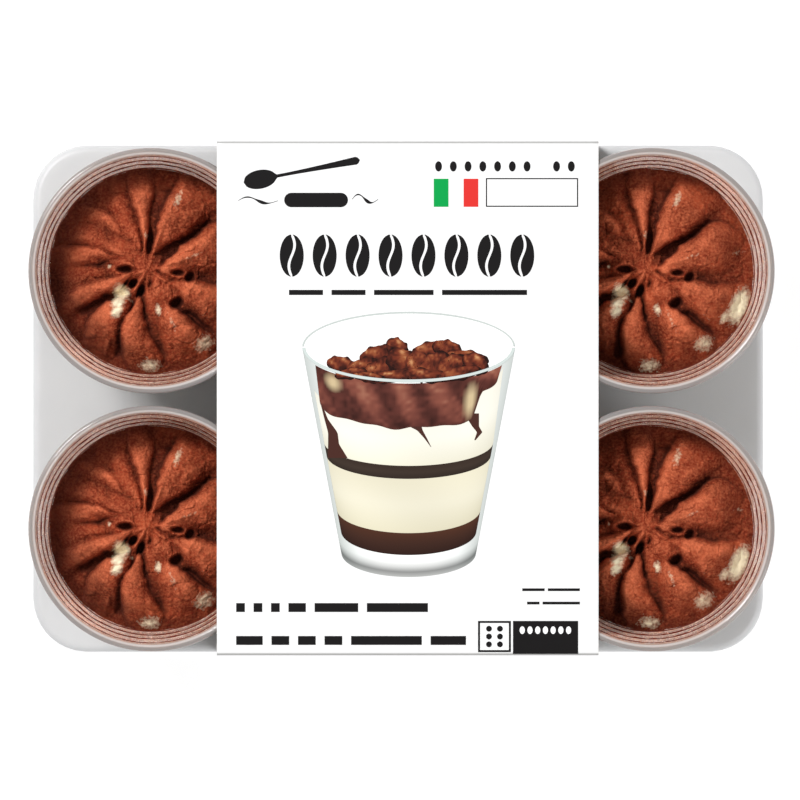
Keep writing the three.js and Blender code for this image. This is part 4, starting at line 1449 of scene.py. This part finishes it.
FILL_WIDE = 27.2
fill_round = np.sqrt(1 - (FILL_WIDE / MOUTH_WIDE * U) ** 2)
fill_top = np.column_stack([PICTURE_X + FILL_WIDE * U, MOUTH_Y - 0.3 - MOUTH_TALL * fill_round])
swirl, across, up = patch(level_line(-8.7, 1.9, wavy + right_rise + 1.0 * U ** 2), fill_top, 40)
lean = np.sin(12.5 * across + 3.4 * up + 1.1 * np.sin(4 * across))
lean = np.sign(lean) * np.abs(lean) ** 0.7
fleck = lattice_noise(swirl[..., 0], swirl[..., 1], 1.1 * MM, 21)
tone = np.clip(0.42 + 0.3 * lean * up ** 0.3 + 0.16 * fleck - 0.25 * (1 - up) ** 3, 0, 1)
creamy = blot(across, up, (0.68, 0.45), (0.07, 0.4), 1.2) + blot(across, up, (-0.82, 0.78), (0.1, 0.22), 1.1)
swirl_colour = tones(tone, "#351712", "#5E3028", "#82493B", "#AE7860")
swirl_colour += (plain(swirl, "#D9C49A") - swirl_colour) * np.clip(creamy, 0, 0.8)[..., None]
ink_piece("picture_swirl", [swirl], PICTURE_INK, 3, [swirl_colour])
print("swirl:", swirl.shape[0] * swirl.shape[1], "points")

# %% [markdown]
# Three tongues of the swirl run down over the upper cream, each a bent line with a width along it.

# %% Tongues of the picture
drips = [
    tongue([(-23.4, -1.5), (-22.0, -6.0), (-20.0, -10.0), (-19.8, -13.4), (-18.6, -17.4)],
           (0.4, 1.0, 2.8, 3.2, 5.8)),
    tongue([(3.4, -7.6), (5.4, -9.4), (7.0, -11.6), (8.6, -14.2)], (4.6, 1.6, 0.8, 0.15)),
    tongue([(20.4, -4.4), (21.6, -8.2), (22.8, -9.9), (21.4, -12.2)], (4.4, 2.0, 1.6, 0.4)),
]
ink_piece("picture_tongues", drips, PICTURE_INK, 2.5, [plain(drip, "#45261F") for drip in drips])
print("tongues:", len(drips))

# %% [markdown]
# Over the mouth stand dollops of the cocoa-dusted top. Each is an oval with a ragged edge, light at its
# upper left and dark at its rim, with a groove or two as the nozzle leaves them. Later ones lie a hair
# higher than earlier ones, so that they overlap as real dollops do.

# %% Dollops of the picture
# Each dollop: centre, half width and half height in mm, tilt in degrees.
DOLLOPS = [
    (-1.2, 14.8, 3.6, 2.6, -35), (-7.0, 12.7, 5.4, 2.7, 15), (8.6, 14.2, 5.8, 2.4, 12),
    (13.2, 14.6, 4.4, 2.4, -10), (19.2, 11.6, 6.4, 2.4, -8), (-17.4, 9.7, 4.5, 2.5, -12),
    (-11.6, 8.9, 5.2, 2.7, 20), (-6.4, 8.3, 6.0, 3.0, 30), (0.2, 10.0, 5.2, 4.1, -50),
    (4.8, 9.4, 3.6, 4.6, 10), (9.6, 9.4, 5.4, 3.5, 40), (15.2, 9.4, 4.8, 3.4, 25),
    (21.6, 10.0, 4.2, 2.9, -30), (-2.2, 6.4, 7.0, 1.9, 8), (7.2, 6.6, 7.0, 2.1, -6),
    (17.0, 7.2, 6.4, 2.0, 12), (-14.8, 7.2, 4.8, 1.6, 10), (-9.6, 6.2, 5.0, 1.4, -6),
]


def dollop(number, x, y, wide, tall, tilt):
    """The grid of one dollop in metres and the colour of each of its points."""
    turn = np.linspace(TIP, np.pi - TIP, 33)
    ragged = 1 + 0.10 * np.sin(7 * turn + number) + 0.05 * np.sin(13 * turn + 2 * number)
    edges = (np.column_stack([-wide * np.cos(turn), height * np.sin(turn)])
             for height in (-tall * ragged, tall * ragged[::-1]))
    local = ruled(*edges, 17)
    u, v = local[..., 0] / wide, local[..., 1] / tall
    cosine, sine = math.cos(math.radians(tilt)), math.sin(math.radians(tilt))
    spun = local @ np.array([[cosine, sine], [-sine, cosine]]) + (x, y)
    shade = 0.40 + 0.35 * v - 0.22 * u + 0.16 * np.sin(5 * u + 4 * v + number)
    fleck = lattice_noise(spun[..., 0] * MM, spun[..., 1] * MM, 0.6 * MM, 30 + number)
    value = np.clip(shade + 0.22 * fleck - 0.45 * (u ** 2 + v ** 2) ** 3, 0, 1)
    return spun * MM, tones(value, "#1E0805", "#451A10", "#6E2E1C", "#94502F", "#D09A6A")


for number, row in enumerate(DOLLOPS):
    shape, colour = dollop(number, *row)
    ink_piece(f"picture_dollop_{number + 1}", [shape], PICTURE_INK, 3 + 0.05 * number, [colour])
print("dollops:", len(DOLLOPS))

# %% [markdown]
# Last comes the rim of the pictured glass: a broad band on the near side and a thin one on the far side,
# both greyer at their edges and bright in the middle, as a round rim is.

# %% Rim of the pictured glass
rim_parts, rim_colours = [], []
shine = 0.85 + 0.25 * np.cos(np.linspace(-1.2, 1.2, 4))[:, None, None]
for side, width, colour in ((-1, 0.9, "#C3CCC9"), (1, 0.45, "#BAC1BE")):
    inner, outer = mouth_line(side, -width), mouth_line(side)
    grid = ruled(*((inner, outer) if side > 0 else (outer, inner)), 4) * MM
    rim_parts.append(grid)
    rim_colours.append(np.clip(plain(grid, colour) * shine, 0, 1))
ink_piece("picture_rim", rim_parts, PICTURE_INK, 5, rim_colours)

# %% [markdown]
# ## Floor and light
# The pack lies on a white surface that is lit from below, as on a packshot table, so it shows no shadow.
# A soft lamp stands high at the far left, and an even white surround fills the rest. The lamp is large,
# so its shadows have soft edges.

# %% Floor
FLOOR = new_material("backlit_white_acrylic", Base_Color="#7E7E7E", Roughness=0.9,
                     Emission_Color="#FFFFFF", Emission_Strength=0.86)[0]
FLOOR_HALF, FLOOR_GAP = 3.0, 0.2 * MM
corners = np.array([[-1, -1, 0], [1, -1, 0], [1, 1, 0], [-1, 1, 0]]) * FLOOR_HALF
floor_mesh = bpy.data.meshes.new("floor")
floor_mesh.from_pydata(corners.tolist(), [], [[0, 1, 2, 3]])
floor_mesh.materials.append(FLOOR)
floor = bpy.data.objects.new("floor", floor_mesh)
floor.location.z = -FLOOR_GAP
scene.collection.objects.link(floor)
print("floor:", 2 * FLOOR_HALF, "m wide")

# %% [markdown]
# The key lamp gives the petals their shade, so it comes from the upper left, where the light in the
# picture comes from, at some 55 degrees above the table. The fill opposite it is weaker and larger.

# %% Lights
world = bpy.data.worlds.new("studio")
world.use_nodes = True
scene.world = world
fill(world.node_tree.nodes["Background"], {"Color": "#FFFFFF", "Strength": 0.46})


def area_light(name, place, size, power, target=(0, 0, 0.04)):
    """A square soft light at a place, facing a target; power in watts."""
    data = bpy.data.lights.new(name, "AREA")
    data.shape = "SQUARE"
    data.size = size
    data.energy = power
    lamp = bpy.data.objects.new(name, data)
    lamp.location = place
    lamp.rotation_euler = (Vector(target) - Vector(place)).to_track_quat("-Z", "Y").to_euler()
    lamp.visible_camera = False
    scene.collection.objects.link(lamp)


area_light("key", (-0.66, 0.59, 1.25), 0.36, 17.5)
area_light("fill", (0.9, -0.6, 0.75), 0.6, 6.0)
print("lights:", *(light.name for light in bpy.data.lights))
